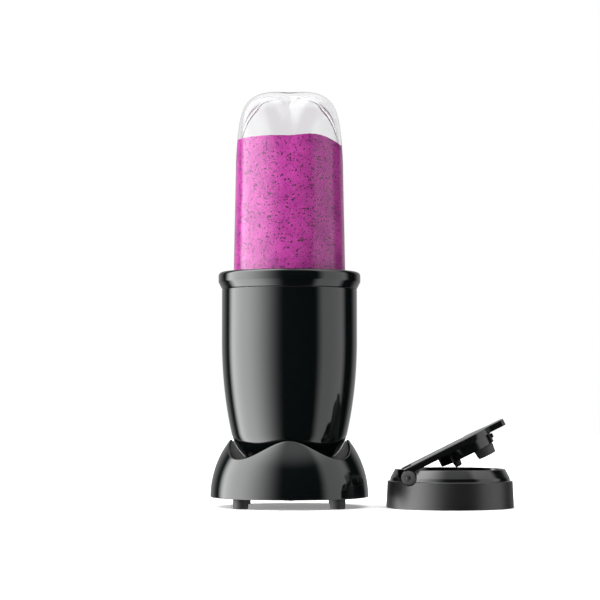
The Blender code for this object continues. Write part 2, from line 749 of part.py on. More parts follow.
def make_rotor(axis):
    fan, _, commutator, _, stator, _, _ = motor_heights()
    bore = MOTOR_SHAFT_R + BORE_GAP
    drive_low = WELL_FLOOR_TOP + 1.0
    top = drive_low + HUB_HIGH
    shaft = rod("motor_shaft", MOTOR_SHAFT_R, (0, 0, fan - FAN_CLEAR), (0, 0, top), sides=20)
    keep(shaft, bright_steel(), axis)
    hole = circle(bore, 12)
    slotted = toothed(BAR_COUNT, ARMATURE_R - SLOT_DEEP, ARMATURE_R, 0.7)
    core = plate("armature_core", [slotted, hole], stator + 1, stator + STATOR_HIGH - 1)
    keep(core, bright_steel(), axis)
    barred = toothed(BAR_COUNT, COMMUTATOR_R - BAR_DEEP, COMMUTATOR_R, 0.8)
    bars = plate("commutator", [barred, hole], commutator, commutator + COMMUTATOR_HIGH)
    keep(bars, copper_wire(), axis)
    vanes = toothed(FAN_BLADES, FAN_HUB_R, FAN_R, 0.35)
    blades = plate("cooling_fan", [vanes, hole], fan, fan + FAN_HIGH)
    keep(blades, pale_plastic(), axis)
    make_coupling("drive_coupling", drive_low, drive_low + HUB_HIGH, bore, True, 0, axis)


def make_coupling(name, low, high, bore, upward, phase, axis):
    """A hub with lugs on one face, which push the other coupling's lugs."""
    hub = keep(ring(name, COUPLING_R, bore, low, high, 20), satin_black(), axis)
    turns = [phase + 2 * math.pi * i / LUG_COUNT for i in range(LUG_COUNT)]
    bottom, top = (high - 0.8, high + LUG_HIGH) if upward else (low - LUG_HIGH, low + 0.8)
    half = LUG_WIDE / 2
    lugs = blocks(name + "_lugs", (LUG_IN, -half, bottom), (COUPLING_R - 0.3, half, top), turns)
    boolean(hub, helper(lugs, axis), "UNION")


def make_stator(axis):
    _, lower_bearing, commutator, lower_coil, stator, upper_coil, upper_bearing = motor_heights()
    bore = MOTOR_SHAFT_R + BORE_GAP
    core = ring("motor_stator", STATOR_R, ARMATURE_R + ARMATURE_GAP, stator, stator + STATOR_HIGH, 28)
    keep(core, finish("laminated_steel", (0.3, 0.3, 0.31), 0.45, 1.0), axis)
    for name, low in (("field_coil_lower", lower_coil), ("field_coil_upper", upper_coil)):
        coil = ring(name, STATOR_R - COIL_INSET, ARMATURE_R + COIL_INSET, low, low + COIL_HIGH, 28)
        keep(coil, copper_wire(), axis)
    for side, low in (("lower", lower_bearing), ("upper", upper_bearing)):
        bearing = ring(side + "_bearing", BEARING_R - BORE_GAP, bore, low, low + BEARING_HIGH, 24)
        keep(bearing, bright_steel(), axis)
        middle = low + BEARING_HIGH / 2
        reach, half = BRACKET_REACH[side], BRACKET_THICK / 2
        bar = block(side + "_bracket", (-reach, -BRACKET_HALF, middle - half),
                    (reach, BRACKET_HALF, middle + half))
        keep(bar, pale_plastic(), axis, smooth=False)
        hub = helper(rod(side + "_hub", BEARING_R + 3, (0, 0, middle - half), (0, 0, middle + half)), axis)
        boolean(bar, hub, "UNION")
        hole = helper(rod(side + "_seat", BEARING_R, (0, 0, low - 2), (0, 0, low + BEARING_HIGH + 4)), axis)
        boolean(bar, hole, "DIFFERENCE")
    mount_low = upper_bearing + BEARING_HIGH / 2 + BRACKET_THICK / 2 + GAP
    mount_top = PLATE_TOP - PLATE_THICK - GAP
    keep(ring("motor_mount", MOUNT_R, MOUNT_IN, mount_low, mount_top, 28), soft_rubber(), axis)
    make_brushes(axis, commutator)


def make_brushes(axis, commutator):
    low, high = commutator + 1, commutator + COMMUTATOR_HIGH - 1
    channel_half, floor = BRUSH_HALF + GAP, 1.0
    for side, turn in (("right", 0), ("left", math.pi)):
        holder = block("brush_holder_" + side, (BRUSH_HOLDER_IN, -channel_half - BRUSH_WALL, low),
                       (BRUSH_HOLDER_OUT, channel_half + BRUSH_WALL, high))
        keep(holder, pale_plastic(), axis, smooth=False)
        holder.rotation_euler.z = turn
        channel = block("brush_channel", (BRUSH_HOLDER_IN - 4, -channel_half, low + floor),
                        (BRUSH_OUT + 1, channel_half, high - floor))
        helper(channel, axis).rotation_euler.z = turn
        boolean(holder, channel, "DIFFERENCE")
        brush = block("carbon_brush_" + side, (COMMUTATOR_R + GAP, -BRUSH_HALF, low + floor + GAP),
                      (BRUSH_OUT, BRUSH_HALF, high - floor - GAP))
        keep(brush, matt_black(), axis, smooth=False)
        brush.rotation_euler.z = turn


# ---------------------------------------------------------------- cup assembly

def dome_power(angle):
    """How full the closed end is: fullest on the diagonals, where the lobes are."""
    lobe = (1 - math.cos(4 * angle)) / 2
    return 2.5 + 9.0 * lobe, 2.0 + 0.2 * lobe, lobe


def cup_radius(z, angle, inset=0.0):
    """Radius of the cup's wall at a height below the top of the dome."""
    radius = CUP_R - CUP_TAPER * (min(z, CUP_DOME_FROM) - CUP_STEP) - inset
    if z <= CUP_DOME_FROM:
        return radius
    power, root, _ = dome_power(angle)
    return radius * (1 - ((z - CUP_DOME_FROM) / (CUP_DOME - inset)) ** power) ** (1 / root)


def dome_points(angle, inset, steps):
    """The closed end from its equator to its middle, with a lobe's rise and a shallow dish."""
    power, root, lobe = dome_power(angle)
    radius = cup_radius(CUP_DOME_FROM, angle, inset)
    points = []
    for i in range(steps + 1):
        lean = math.pi / 2 * i / steps
        r = radius * math.cos(lean) ** (2 / root) if i < steps else 0.0
        z = CUP_DOME_FROM + (CUP_DOME - inset) * math.sin(lean) ** (2 / power)
        share = r / radius
        rise = CUP_LOBE * lobe * math.sin(math.pi * min(share, 1)) ** 2
        points.append((r, z + rise - CUP_DISH * max(0.0, 1 - share / 0.45) ** 2))
    return points


def cup_section(angle):
    """The cup's wall from the middle of its closed end, down outside, and back up inside."""
    outer = dome_points(angle, 0, 8)[::-1]
    inner = dome_points(angle, CUP_WALL, 6)
    mouth_in = CUP_THREAD_R - CUP_WALL
    wall = [(CUP_R, CUP_STEP), (CUP_THREAD_R, CUP_STEP), (CUP_THREAD_R, CUP_MOUTH), (mouth_in, CUP_MOUTH),
            (mouth_in, CUP_STEP + 1), (cup_radius(CUP_STEP + 4, angle, CUP_WALL), CUP_STEP + 4)]
    return outer + wall + inner


def make_cup(axis):
    cup = keep(shaped("cup", cup_section, 40, False), clear_cup(), axis)
    low, high = (CUP_R - 1.2, -TAB_LONG / 2, TAB_LOW), (TAB_OUT, TAB_LONG / 2, TAB_LOW + TAB_HIGH)
    boolean(cup, helper(blocks("cup_tabs", low, high, tab_turns()), axis), "UNION")


def drink_level(radius, angle):
    """Height of the drink's surface, a slow wave across the cup."""
    x, y = radius * math.cos(angle), radius * math.sin(angle)
    swell = 2.6 * math.cos((x - 14) / 15) - 0.05 * max(0.0, x - 22) ** 1.7
    return DRINK_LEVEL + swell + 0.6 * math.sin(y / 9)


def drink_section(angle):
    """The drink fills the cup, with an open space round the blades."""
    inset = CUP_WALL + DRINK_GAP
    edge = cup_radius(DRINK_LEVEL, angle, inset)
    edge = cup_radius(max(DRINK_LEVEL, drink_level(edge, angle)), angle, inset)
    top = [(edge * share, drink_level(edge * share, angle)) for share in (0, 0.35, 0.7, 1)]
    wall_r = CUP_THREAD_R - GASKET_WIDE - GAP
    mids = [(cup_radius(z, angle, inset), z) for z in (CUP_DOME_FROM + 14, CUP_DOME_FROM, CUP_STEP + 4)]
    sweep = BLADE_REACH + 2.5
    low = GASKET_LOW
    return top + mids + [(wall_r, CUP_STEP + 1), (wall_r, low), (sweep, low),
                         (sweep, BLADE_TOP), (0, BLADE_TOP + 2)]


def make_drink(axis):
    keep(shaped("smoothie", drink_section, 40, False), berry_drink(), axis)


def make_holder(axis):
    """The blade holder: a threaded cup outside, with a hub for the bush and a skirt below its floor."""
    inner = CUP_THREAD_R + GAP
    floor_top = HOLDER_FLOOR + HOLDER_FLOOR_THICK
    hole = BUSH_R + BORE_GAP
    boss = hole + 3.7
    outline = [(HOLDER_R, HOLDER_TOP), (HOLDER_R, HOLDER_BOTTOM), (inner, HOLDER_BOTTOM),
               (inner, HOLDER_FLOOR), (boss, HOLDER_FLOOR), (boss, HUB_LOW), (hole, HUB_LOW),
               (hole, HUB_TOP), (boss - 1, HUB_TOP), (boss + 0.5, floor_top), (inner, floor_top),
               (inner, HOLDER_TOP)]
    keep(turned("blade_holder", outline, 32), gloss_black(), axis)
    gasket_in = CUP_THREAD_R - GASKET_WIDE
    gasket = ring("cup_gasket", CUP_THREAD_R, gasket_in, GASKET_LOW, GASKET_LOW + GASKET_THICK, 28)
    keep(gasket, soft_rubber(), axis)


def make_bush(axis):
    flange_low = HUB_TOP + GAP
    bore = BLADE_SHAFT_R + BORE_GAP
    outline = [(BUSH_R + 2.5, flange_low + 1.7), (BUSH_R + 2.5, flange_low), (BUSH_R, flange_low),
               (BUSH_R, flange_low + 1.7 - BUSH_LENGTH), (bore, flange_low + 1.7 - BUSH_LENGTH),
               (bore, flange_low + 1.7)]
    keep(turned("blade_bush", outline, 24), finish("bronze_bush", (0.6, 0.42, 0.2), 0.35, 1.0), axis)


def bent_blade(name, low, bend, turn, axis):
    """A two-armed blade cut from strip, its arms bent and narrowed to the tips."""
    rise = (BLADE_REACH - 9) * math.tan(bend)
    side = [(-BLADE_REACH, low + rise), (-9, low), (9, low), (BLADE_REACH, low + rise)]
    outline = side + [(x, z + BLADE_THICK) for x, z in reversed(side)]
    strip = plate(name, [outline], -BLADE_WIDE / 2, BLADE_WIDE / 2)
    strip.data.transform(Matrix.Rotation(math.pi / 2, 4, "X"))
    for vertex in strip.data.vertices:
        if abs(vertex.co.x) > 10 * MM:
            vertex.co.y *= 0.45
    keep(strip, bright_steel(), axis, smooth=False)
    strip.rotation_euler.z = turn
    hole = helper(rod(name + "_hole", BLADE_SHAFT_R + BORE_GAP, (0, 0, low - 9), (0, 0, low + 9)), axis)
    boolean(strip, hole, "DIFFERENCE")


def make_blades(axis):
    upper = BLADE_LOW + BLADE_THICK + GAP
    nut_low = upper + BLADE_THICK + GAP
    bore = BLADE_SHAFT_R + BORE_GAP
    shaft = rod("blade_shaft", BLADE_SHAFT_R, (0, 0, DRIVEN_LOW), (0, 0, nut_low + 4), sides=20)
    keep(shaft, bright_steel(), axis)
    bent_blade("lower_cross_blade", BLADE_LOW, math.radians(-12), math.radians(20), axis)
    bent_blade("upper_cross_blade", upper, math.radians(32), math.radians(110), axis)
    nut = plate("blade_nut", [circle(5.4, 6), circle(bore, 20)], nut_low, nut_low + 3)
    keep(nut, bright_steel(), axis, smooth=False)
    make_coupling("driven_coupling", DRIVEN_LOW, DRIVEN_LOW + HUB_HIGH - 0.6, bore, False,
                  math.pi / LUG_COUNT, axis)


# ---------------------------------------------------------------- drinking lid

def shut_x(x, z):
    """Where a point on the shut flap is along the lid."""
    return HINGE_X + x * math.cos(FLAP_SHUT) - z * math.sin(FLAP_SHUT)


def make_lid_shell(axis):
    deck_low = DECK_TOP - DECK_THICK
    thread_in = CUP_THREAD_R + 1.6 * GAP
    thread_out = thread_in + THREAD_WALL
    outline = [(0, DECK_TOP), (RECESS_R - 0.8, DECK_TOP), (RECESS_R, DECK_TOP + 0.8),
               (RECESS_R, RIM_HIGH - 0.6), (RECESS_R + 0.6, RIM_HIGH), (RIM_R, RIM_HIGH - 0.2),
               (SHOULDER_R, LID_WALL_TOP + 0.2), (LID_TOP_R - 0.4, LID_WALL_TOP),
               (LID_TOP_R, LID_WALL_TOP - 0.5), (LID_R, 0.8), (LID_R - 0.6, 0),
               (LID_R - LID_SKIRT_WALL, 0), (LID_BODY_WALL, deck_low - 1), (thread_out, deck_low - 1),
               (thread_out, 2), (thread_in, 2), (thread_in, deck_low), (0, deck_low)]
    shell = keep(turned("lid_shell", outline, 40, solid=True), gloss_black(), axis)
    lug_r = KNUCKLE_R - 0.4
    lug = helper(rod("hinge_lug", lug_r, (HINGE_X, -LUG_HALF, HINGE_Z), (HINGE_X, LUG_HALF, HINGE_Z)), axis)
    seat = helper(block("lug_seat", (HINGE_X - lug_r, -LUG_HALF, DECK_TOP - 1),
                        (HINGE_X + lug_r, LUG_HALF, HINGE_Z)), axis)
    for side, y_low, y_high in (("front", -LID_R, -LUG_HALF), ("back", LUG_HALF, LID_R)):
        trench = rod("knuckle_trench_" + side, TRENCH_R, (HINGE_X, y_low, HINGE_Z),
                     (HINGE_X, y_high, HINGE_Z))
        mouth = block("trench_mouth_" + side, (HINGE_X - FLAP_TOP - 2 * GAP, y_low, HINGE_Z),
                      (HINGE_X + TRENCH_R, y_high, RIM_HIGH + 5))
        boolean(shell, helper(trench, axis), "DIFFERENCE")
        boolean(shell, helper(mouth, axis), "DIFFERENCE")
    boolean(shell, seat, "UNION")
    boolean(shell, lug, "UNION")
    spout_x, vent_x = shut_x(PLUG_X, PLUG_LOW / 1.5), shut_x(VENT_PLUG_X, VENT_PLUG_LOW / 1.5)
    holes = (("pin_bore", PIN_R + BORE_GAP, (HINGE_X, -12, HINGE_Z), (HINGE_X, 12, HINGE_Z)),
             ("spout_hole", PLUG_R + 0.9, (spout_x, 0, deck_low - 4), (spout_x, 0, DECK_TOP + 3)),
             ("vent_hole", VENT_PLUG_R + 0.9, (vent_x, 0, deck_low - 4), (vent_x, 0, DECK_TOP + 3)))
    for name, radius, start, end in holes:
        boolean(shell, helper(rod(name, radius, start, end), axis), "DIFFERENCE")
    gasket = ring("lid_gasket", thread_in - GAP, thread_in - 2.5, deck_low - GAP - 2, deck_low - GAP, 28)
    keep(gasket, soft_rubber(), axis)
    pin_end = KNUCKLE_OUT - 0.5
    pin = rod("lid_hinge_pin", PIN_R, (HINGE_X, -pin_end, HINGE_Z), (HINGE_X, pin_end, HINGE_Z), sides=16)
    keep(pin, bright_steel(), axis)


def flap_outline():
    """The flap seen from above: straight sides, a round end over the drum and a thumb tab."""
    tab = 9.0
    meet = math.degrees(math.asin(tab / FLAP_HALF))
    half = [(0, FLAP_HALF)] + arc(DRUM_X, 0, FLAP_HALF, 90, meet, 6)
    half += arc(FLAP_TIP - 4, tab - 4, 4, 90, 0, 3)
    notch = LUG_HALF + 2 * GAP
    step = KNUCKLE_R + 1.8
    mirrored = [(x, -y) for x, y in reversed(half)]
    return half + mirrored + [(0, -notch), (step, -notch), (step, notch), (0, notch)]


def make_flap(hinge):
    """The flap with its two knuckles and the drum that drops into the lid's recess."""
    flap = keep(plate("flip_cap", [flap_outline()[::-1]], FLAP_UNDER, FLAP_TOP), gloss_black(), hinge)
    drum_top = (DRUM_X, 0, FLAP_UNDER + 1)
    drum = helper(rod("cap_drum", DRUM_R, (DRUM_X, 0, DRUM_LOW), drum_top, sides=32), hinge)
    drum_end = DRUM_X + DRUM_R
    bead = helper(block("cap_latch", (drum_end - 2, -5, -2.5), (drum_end + 0.9, 5, 0.6)), hinge)
    boolean(flap, drum, "UNION")
    boolean(flap, bead, "UNION")
    for sign, side in ((-1, "front"), (1, "back")):
        ends = sorted((sign * (LUG_HALF + 1.5 * GAP), sign * KNUCKLE_OUT))
        knuckle = rod("knuckle_" + side, KNUCKLE_R, (0, ends[0], 0), (0, ends[1], 0))
        boolean(flap, helper(knuckle, hinge), "UNION")
    bore = helper(rod("knuckle_bore", PIN_R + BORE_GAP, (0, -40, 0), (0, 40, 0), sides=16), hinge)
    boolean(flap, bore, "DIFFERENCE")
    plug_top = DRUM_LOW - GAP
    for name, x, radius, low in (("spout_plug", PLUG_X, PLUG_R, PLUG_LOW),
                                 ("vent_plug", VENT_PLUG_X, VENT_PLUG_R, VENT_PLUG_LOW)):
        plug = rod(name, radius - 0.8, (x, 0, low), (x, 0, plug_top), radius)
        keep(plug, soft_rubber(), hinge)


def make_empty(name, place, turn=0.0, parent=None):
    made = bpy.data.objects.new(name, None)
    PARTS.objects.link(made)
    made.location = Vector(place) * MM
    made.rotation_euler.y = turn
    made.parent = parent
    return made


def main():
    global PARTS, CUTTERS
    clear_scene()
    PARTS = new_collection("countertop_blender")
    CUTTERS = new_collection("cutters")
    axis = make_empty("blender_axis", (BLENDER_X, 0, 0))
    for make in (make_skirt, make_gland, make_housing, make_collar, make_bottom, make_feet_and_screws,
                 make_board, make_well, make_plungers, make_switch, make_rotor, make_stator,
                 make_cup, make_drink, make_holder, make_bush, make_blades):
        make(axis)
    lid = make_empty("lid_axis", (LID_X, -LID_FORWARD, 0))
    make_lid_shell(lid)
    hinge = make_empty("flap_hinge", (HINGE_X, 0, HINGE_Z), -FLAP_OPEN, lid)
    make_flap(hinge)


main()
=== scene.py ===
"""Looks of a personal blender and its flip-top drinking lid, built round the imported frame.

The frame gives every body and its place. This script makes the fine meshes and the finishes of the
pieces that show, dresses the pieces inside, and sets a pale studio round them. Lengths that are named
in millimetres are scaled once, by MM.
"""
import json
import logging
import math
from collections.abc import Callable, Sequence
from dataclasses import dataclass
from enum import Enum
from typing import Any

import bmesh
import bpy
from mathutils import Matrix, Vector

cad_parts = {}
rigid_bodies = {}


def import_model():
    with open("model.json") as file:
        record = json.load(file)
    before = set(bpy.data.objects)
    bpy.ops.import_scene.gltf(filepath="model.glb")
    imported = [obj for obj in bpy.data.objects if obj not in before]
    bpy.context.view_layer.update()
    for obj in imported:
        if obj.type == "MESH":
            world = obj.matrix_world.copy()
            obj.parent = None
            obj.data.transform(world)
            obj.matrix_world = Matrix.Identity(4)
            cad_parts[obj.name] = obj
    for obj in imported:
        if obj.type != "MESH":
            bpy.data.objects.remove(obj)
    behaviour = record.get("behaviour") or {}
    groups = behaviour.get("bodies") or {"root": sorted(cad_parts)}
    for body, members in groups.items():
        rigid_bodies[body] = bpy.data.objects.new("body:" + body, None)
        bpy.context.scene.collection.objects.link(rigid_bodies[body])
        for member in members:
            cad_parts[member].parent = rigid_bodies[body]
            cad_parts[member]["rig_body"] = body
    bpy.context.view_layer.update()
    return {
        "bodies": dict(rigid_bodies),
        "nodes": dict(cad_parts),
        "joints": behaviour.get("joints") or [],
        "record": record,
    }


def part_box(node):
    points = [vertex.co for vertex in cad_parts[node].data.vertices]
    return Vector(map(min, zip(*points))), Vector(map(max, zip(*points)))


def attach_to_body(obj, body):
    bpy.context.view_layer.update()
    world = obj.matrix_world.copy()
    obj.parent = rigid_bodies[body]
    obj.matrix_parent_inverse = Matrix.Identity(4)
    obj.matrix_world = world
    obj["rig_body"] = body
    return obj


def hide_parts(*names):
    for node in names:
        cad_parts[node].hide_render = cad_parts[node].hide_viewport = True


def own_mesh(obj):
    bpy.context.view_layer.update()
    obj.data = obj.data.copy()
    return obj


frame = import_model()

MM = 0.001
SOFT_ANGLE = math.radians(40.0)
SHARP_ANGLE = math.radians(32.0)
MERGE = 0.0002  # points this near become one, in millimetres
WEB_GAP = 0.12  # between a web and the bowl, in millimetres
NEAR = 0.05  # slack when a face is told from its neighbours, in millimetres
LOG = logging.getLogger("blender_looks")

Point = tuple[float, float]
Triple = tuple[float, float, float]
Color = Triple
Numbers = tuple[float, ...]
Piece = bpy.types.Object
Socket = bpy.types.NodeSocket


class Body(Enum):
    """The bodies that pieces ride on."""

    BASE = "base"
    CUP = "cup_assembly"
    LID = "lid"
    CAP = "cap"


# ------------------------------------------------------------------ node maths


class Value:
    """A node socket that Python's operators work on, in a shader or a geometry tree."""

    def __init__(self, graph: "Graph", socket: Socket) -> None:
        """Keeps the socket and the graph that new nodes go in."""
        self.graph = graph
        self.socket = socket

    def __add__(self, other: Any) -> "Value":
        """self + other."""
        return self.graph.math("ADD", self, other)

    __radd__ = __add__

    def __sub__(self, other: Any) -> "Value":
        """self - other."""
        return self.graph.math("SUBTRACT", self, other)

    def __rsub__(self, other: Any) -> "Value":
        """other - self."""
        return self.graph.math("SUBTRACT", other, self)

    def __mul__(self, other: Any) -> "Value":
        """self * other."""
        return self.graph.math("MULTIPLY", self, other)

    __rmul__ = __mul__

    def __neg__(self) -> "Value":
        """-self."""
        return self.graph.math("MULTIPLY", self, -1.0)

    def above(self, limit: Any) -> "Value":
        """1 where self is over the limit, else 0."""
        return self.graph.math("GREATER_THAN", self, limit)

    def clipped(self) -> "Value":
        """self held between 0 and 1."""
        return self.graph.math("MINIMUM", self.graph.math("MAXIMUM", self, 0.0), 1.0)

    def sin(self) -> "Value":
        """The sine of self."""
        return self.graph.math("SINE", self)


class Graph:
    """A node tree that is filled by expressions and by one method for any other node."""

    def __init__(self, tree: bpy.types.NodeTree) -> None:
        """Wraps an existing node tree."""
        self.tree = tree

    def node(self, kind: str, settings: dict[str, Any] | None = None, **inputs: Any) -> bpy.types.Node:
        """Adds any node.

        Args:
            kind: the node's type.
            settings: attributes that are set first.
            inputs: values or links of its sockets, by name with _ for a space, or i0, i1 for a position.

        Returns:
            The node.
        """
        made = self.tree.nodes.new(kind)
        for name, value in (settings or {}).items():
            setattr(made, name, value)
        for name, value in inputs.items():
            key = int(name[1:]) if name[0] == "i" and name[1:].isdigit() else name.replace("_", " ")
            self.feed(made.inputs[key], value)
        return made

    def feed(self, socket: Socket, value: Any) -> None:
        """Links a value or a socket to a socket, or sets a constant on it."""
        if isinstance(value, Value):
            self.tree.links.new(value.socket, socket)
        elif isinstance(value, Socket):
            self.tree.links.new(value, socket)
        else:
            socket.default_value = value

    def math(self, operation: str, *terms: Any) -> Value:
        """A Math node's result on up to three terms."""
        made = self.node("ShaderNodeMath", {"operation": operation})
        for socket, term in zip(made.inputs, terms):
            self.feed(socket, term)
        return Value(self, made.outputs[0])

    def mix(self, factor: Any, first: Any, second: Any) -> Socket:
        """A colour between two colours."""
        made = self.node("ShaderNodeMix", {"data_type": "RGBA"}, i0=factor)
        for socket, value in ((made.inputs[6], first), (made.inputs[7], second)):
            self.feed(socket, (*value, 1.0) if isinstance(value, tuple) and len(value) == 3 else value)
        return made.outputs[2]


class Shader(Graph):
    """A material's graph with one Principled shader at its end."""

    def __init__(self, name: str) -> None:
        """Makes an empty material of this name with its Principled shader."""
        self.material = bpy.data.materials.new(name)
        self.material.use_nodes = True
        super().__init__(self.material.node_tree)
        self.tree.nodes.clear()
        self.surface = self.node("ShaderNodeBsdfPrincipled")
        self.output = self.node("ShaderNodeOutputMaterial", Surface=self.surface.outputs[0])
        self.place = self.node("ShaderNodeTexCoord").outputs["Object"]

    def set(self, **inputs: Any) -> None:
        """Sets or links the Principled shader's sockets."""
        for name, value in inputs.items():
            socket = self.surface.inputs[name.replace("_", " ")]
            plain = socket.type == "RGBA" and isinstance(value, tuple)
            self.feed(socket, (*value, 1.0) if plain else value)

    def stretched(self, x: float, y: float, z: float) -> Socket:
        """The piece's coordinates times a factor along each axis."""
        return self.node("ShaderNodeMapping", Vector=self.place, Scale=(x, y, z)).outputs[0]

    def noise(self, per_metre: float, detail: float = 3.0, rough: float = 0.5, place: Any = None) -> Value:
        """A smooth noise of this many features to the metre, between 0 and 1."""
        made = self.node("ShaderNodeTexNoise", Vector=place or self.place, Scale=per_metre, Detail=detail,
                         Roughness=rough)
        return Value(self, made.outputs["Fac"])

    def cells(self, per_metre: float, scatter: float = 1.0) -> Value:
        """Distance to the nearest of scattered points, in cells."""
        made = self.node("ShaderNodeTexVoronoi", Vector=self.place, Scale=per_metre, Randomness=scatter)
        return Value(self, made.outputs["Distance"])

    def axis(self, name: str) -> Value:
        """One of the piece's coordinates: X, Y or Z."""
        made = self.node("ShaderNodeSeparateXYZ", Vector=self.place)
        return Value(self, made.outputs[name])

    def bump(self, height: Value, depth: float) -> None:
        """Raises the surface by a height between 0 and 1 times a depth in metres."""
        made = self.node("ShaderNodeBump", Strength=1.0, Distance=depth, Height=height)
        self.set(Normal=made.outputs[0])


# ------------------------------------------------------------------ finishes

MIXED: dict[str, bpy.types.Material] = {}


@dataclass(frozen=True)
class Finish:
    """A finish: a name, the record's slot it belongs to and a way to build its nodes."""

    name: str
    slot: str

    def build(self, shader: Shader) -> None:
        """Fills the shader. Each finish has its own."""
        raise NotImplementedError

    def material(self) -> bpy.types.Material:
        """The finish's material, made once.

        Returns:
            The material of this finish's name.
        """
        if self.name not in MIXED:
            shader = Shader(self.name)
            self.build(shader)
            MIXED[self.name] = shader.material
        return MIXED[self.name]


@dataclass(frozen=True)
class GlossPlastic(Finish):
    """Polished moulded plastic with a faint flow ripple, fine wipe marks and a trace of dust."""

    color: Color = (0.0018, 0.0026, 0.0028)
    roughness: float = 0.06
    ripple: float = 0.00002

    def build(self, shader: Shader) -> None:
        """Fills the shader."""
        dust = shader.noise(900.0, 2.0)
        wipes = shader.noise(60.0, 5.0, 0.7, shader.stretched(1.0, 1.0, 9.0))
        lift = (dust - 0.62).clipped() * 0.06
        shader.set(Base_Color=shader.mix(lift, self.color, (0.10, 0.10, 0.105)))
        shader.set(Roughness=(wipes - 0.35).clipped() * 0.10 + self.roughness)
        shader.set(IOR=1.5, Coat_Weight=0.0)
        shader.bump(shader.noise(38.0, 1.0), self.ripple)


@dataclass(frozen=True)
class GrainPlastic(Finish):
    """Spark-textured moulded plastic, even and low in shine."""

    color: Color = (0.03, 0.03, 0.032)
    roughness: float = 0.42
    grain: float = 3200.0
    depth: float = 0.00004

    def build(self, shader: Shader) -> None:
        """Fills the shader."""
        grain = shader.noise(self.grain, 2.0)
        patch = shader.noise(45.0, 3.0)
        pale = tuple(min(1.0, c * 1.35 + 0.004) for c in self.color)
        shader.set(Base_Color=shader.mix((patch - 0.3).clipped() * 0.8, self.color, pale))
        shader.set(Roughness=grain * 0.14 + (self.roughness - 0.05))
        shader.bump(grain, self.depth)


@dataclass(frozen=True)
class SoftRubber(Finish):
    """Moulded rubber with a dry bloom on its high spots."""

    color: Color = (0.022, 0.022, 0.023)

    def build(self, shader: Shader) -> None:
        """Fills the shader."""
        pores = shader.cells(2600.0)
        bloom = shader.noise(160.0, 4.0, 0.6)
        shader.set(Base_Color=shader.mix((bloom - 0.45).clipped(), self.color, (0.07, 0.068, 0.066)))
        shader.set(Roughness=bloom * 0.25 + 0.5)
        shader.bump(pores, 0.00003)


@dataclass(frozen=True)
class GroundSteel(Finish):
    """Steel with fine grinding lines and a few stains."""

    color: Color = (0.62, 0.62, 0.60)
    lines: float = 2400.0

    def build(self, shader: Shader) -> None:
        """Fills the shader."""
        lines = shader.noise(self.lines, 3.0, 0.6, shader.stretched(0.06, 1.0, 1.0))
        stain = shader.noise(120.0, 3.0)
        shader.set(Base_Color=shader.mix((stain - 0.4).clipped() * 0.6, self.color, (0.45, 0.43, 0.40)))
        shader.set(Metallic=1.0, Roughness=lines * 0.22 + 0.14)
        shader.bump(lines, 0.00001)


@dataclass(frozen=True)
class StackedSteel(Finish):
    """Punched sheets stacked along the shaft, each with a dark edge."""

    color: Color = (0.30, 0.30, 0.31)
    sheet: float = 0.0005

    def build(self, shader: Shader) -> None:
        """Fills the shader."""
        wave = (shader.axis("Z") * (2 * math.pi / self.sheet)).sin()
        edge = (wave * 0.5 + 0.5).clipped()
        stain = shader.noise(200.0, 3.0)
        shader.set(Base_Color=shader.mix(edge * 0.7 + stain * 0.2, self.color, (0.10, 0.09, 0.085)))
        shader.set(Metallic=1.0, Roughness=edge * 0.2 + 0.35)
        shader.bump(edge, 0.00005)


@dataclass(frozen=True)
class WoundCopper(Finish):
    """Enamelled wire, wound in close turns."""

    color: Color = (0.72, 0.30, 0.13)
    wire: float = 0.0006

    def build(self, shader: Shader) -> None:
        """Fills the shader."""
        turns = (shader.axis("Z") * (2 * math.pi / self.wire)).sin() * 0.5 + 0.5
        tint = shader.noise(300.0, 2.0)
        shader.set(Base_Color=shader.mix(tint, self.color, (0.50, 0.17, 0.07)))
        shader.set(Metallic=1.0, Roughness=turns * 0.15 + 0.25)
        shader.bump(turns, 0.0001)


@dataclass(frozen=True)
class SinteredBronze(Finish):
    """Pressed bronze powder, open-pored and oily."""

    color: Color = (0.60, 0.40, 0.18)

    def build(self, shader: Shader) -> None:
        """Fills the shader."""
        pores = shader.cells(3600.0)
        shader.set(Base_Color=shader.mix(pores, (0.25, 0.15, 0.07), self.color))
        shader.set(Metallic=1.0, Roughness=pores * 0.3 + 0.25)
        shader.bump(pores, 0.00003)


@dataclass(frozen=True)
class BoardLaminate(Finish):
    """Green circuit laminate with a glass weave and solder spots."""

    color: Color = (0.03, 0.16, 0.07)

    def build(self, shader: Shader) -> None:
        """Fills the shader."""
        weave = (shader.axis("X") * 9000.0).sin() * (shader.axis("Y") * 9000.0).sin() * 0.5 + 0.5
        spots = 1.0 - shader.cells(420.0, 0.3).above(0.22)
        base = shader.mix(weave * 0.4, self.color, (0.06, 0.26, 0.12))
        shader.set(Base_Color=shader.mix(spots, base, (0.66, 0.66, 0.64)))
        shader.set(Metallic=spots, Roughness=weave * 0.1 + 0.35)


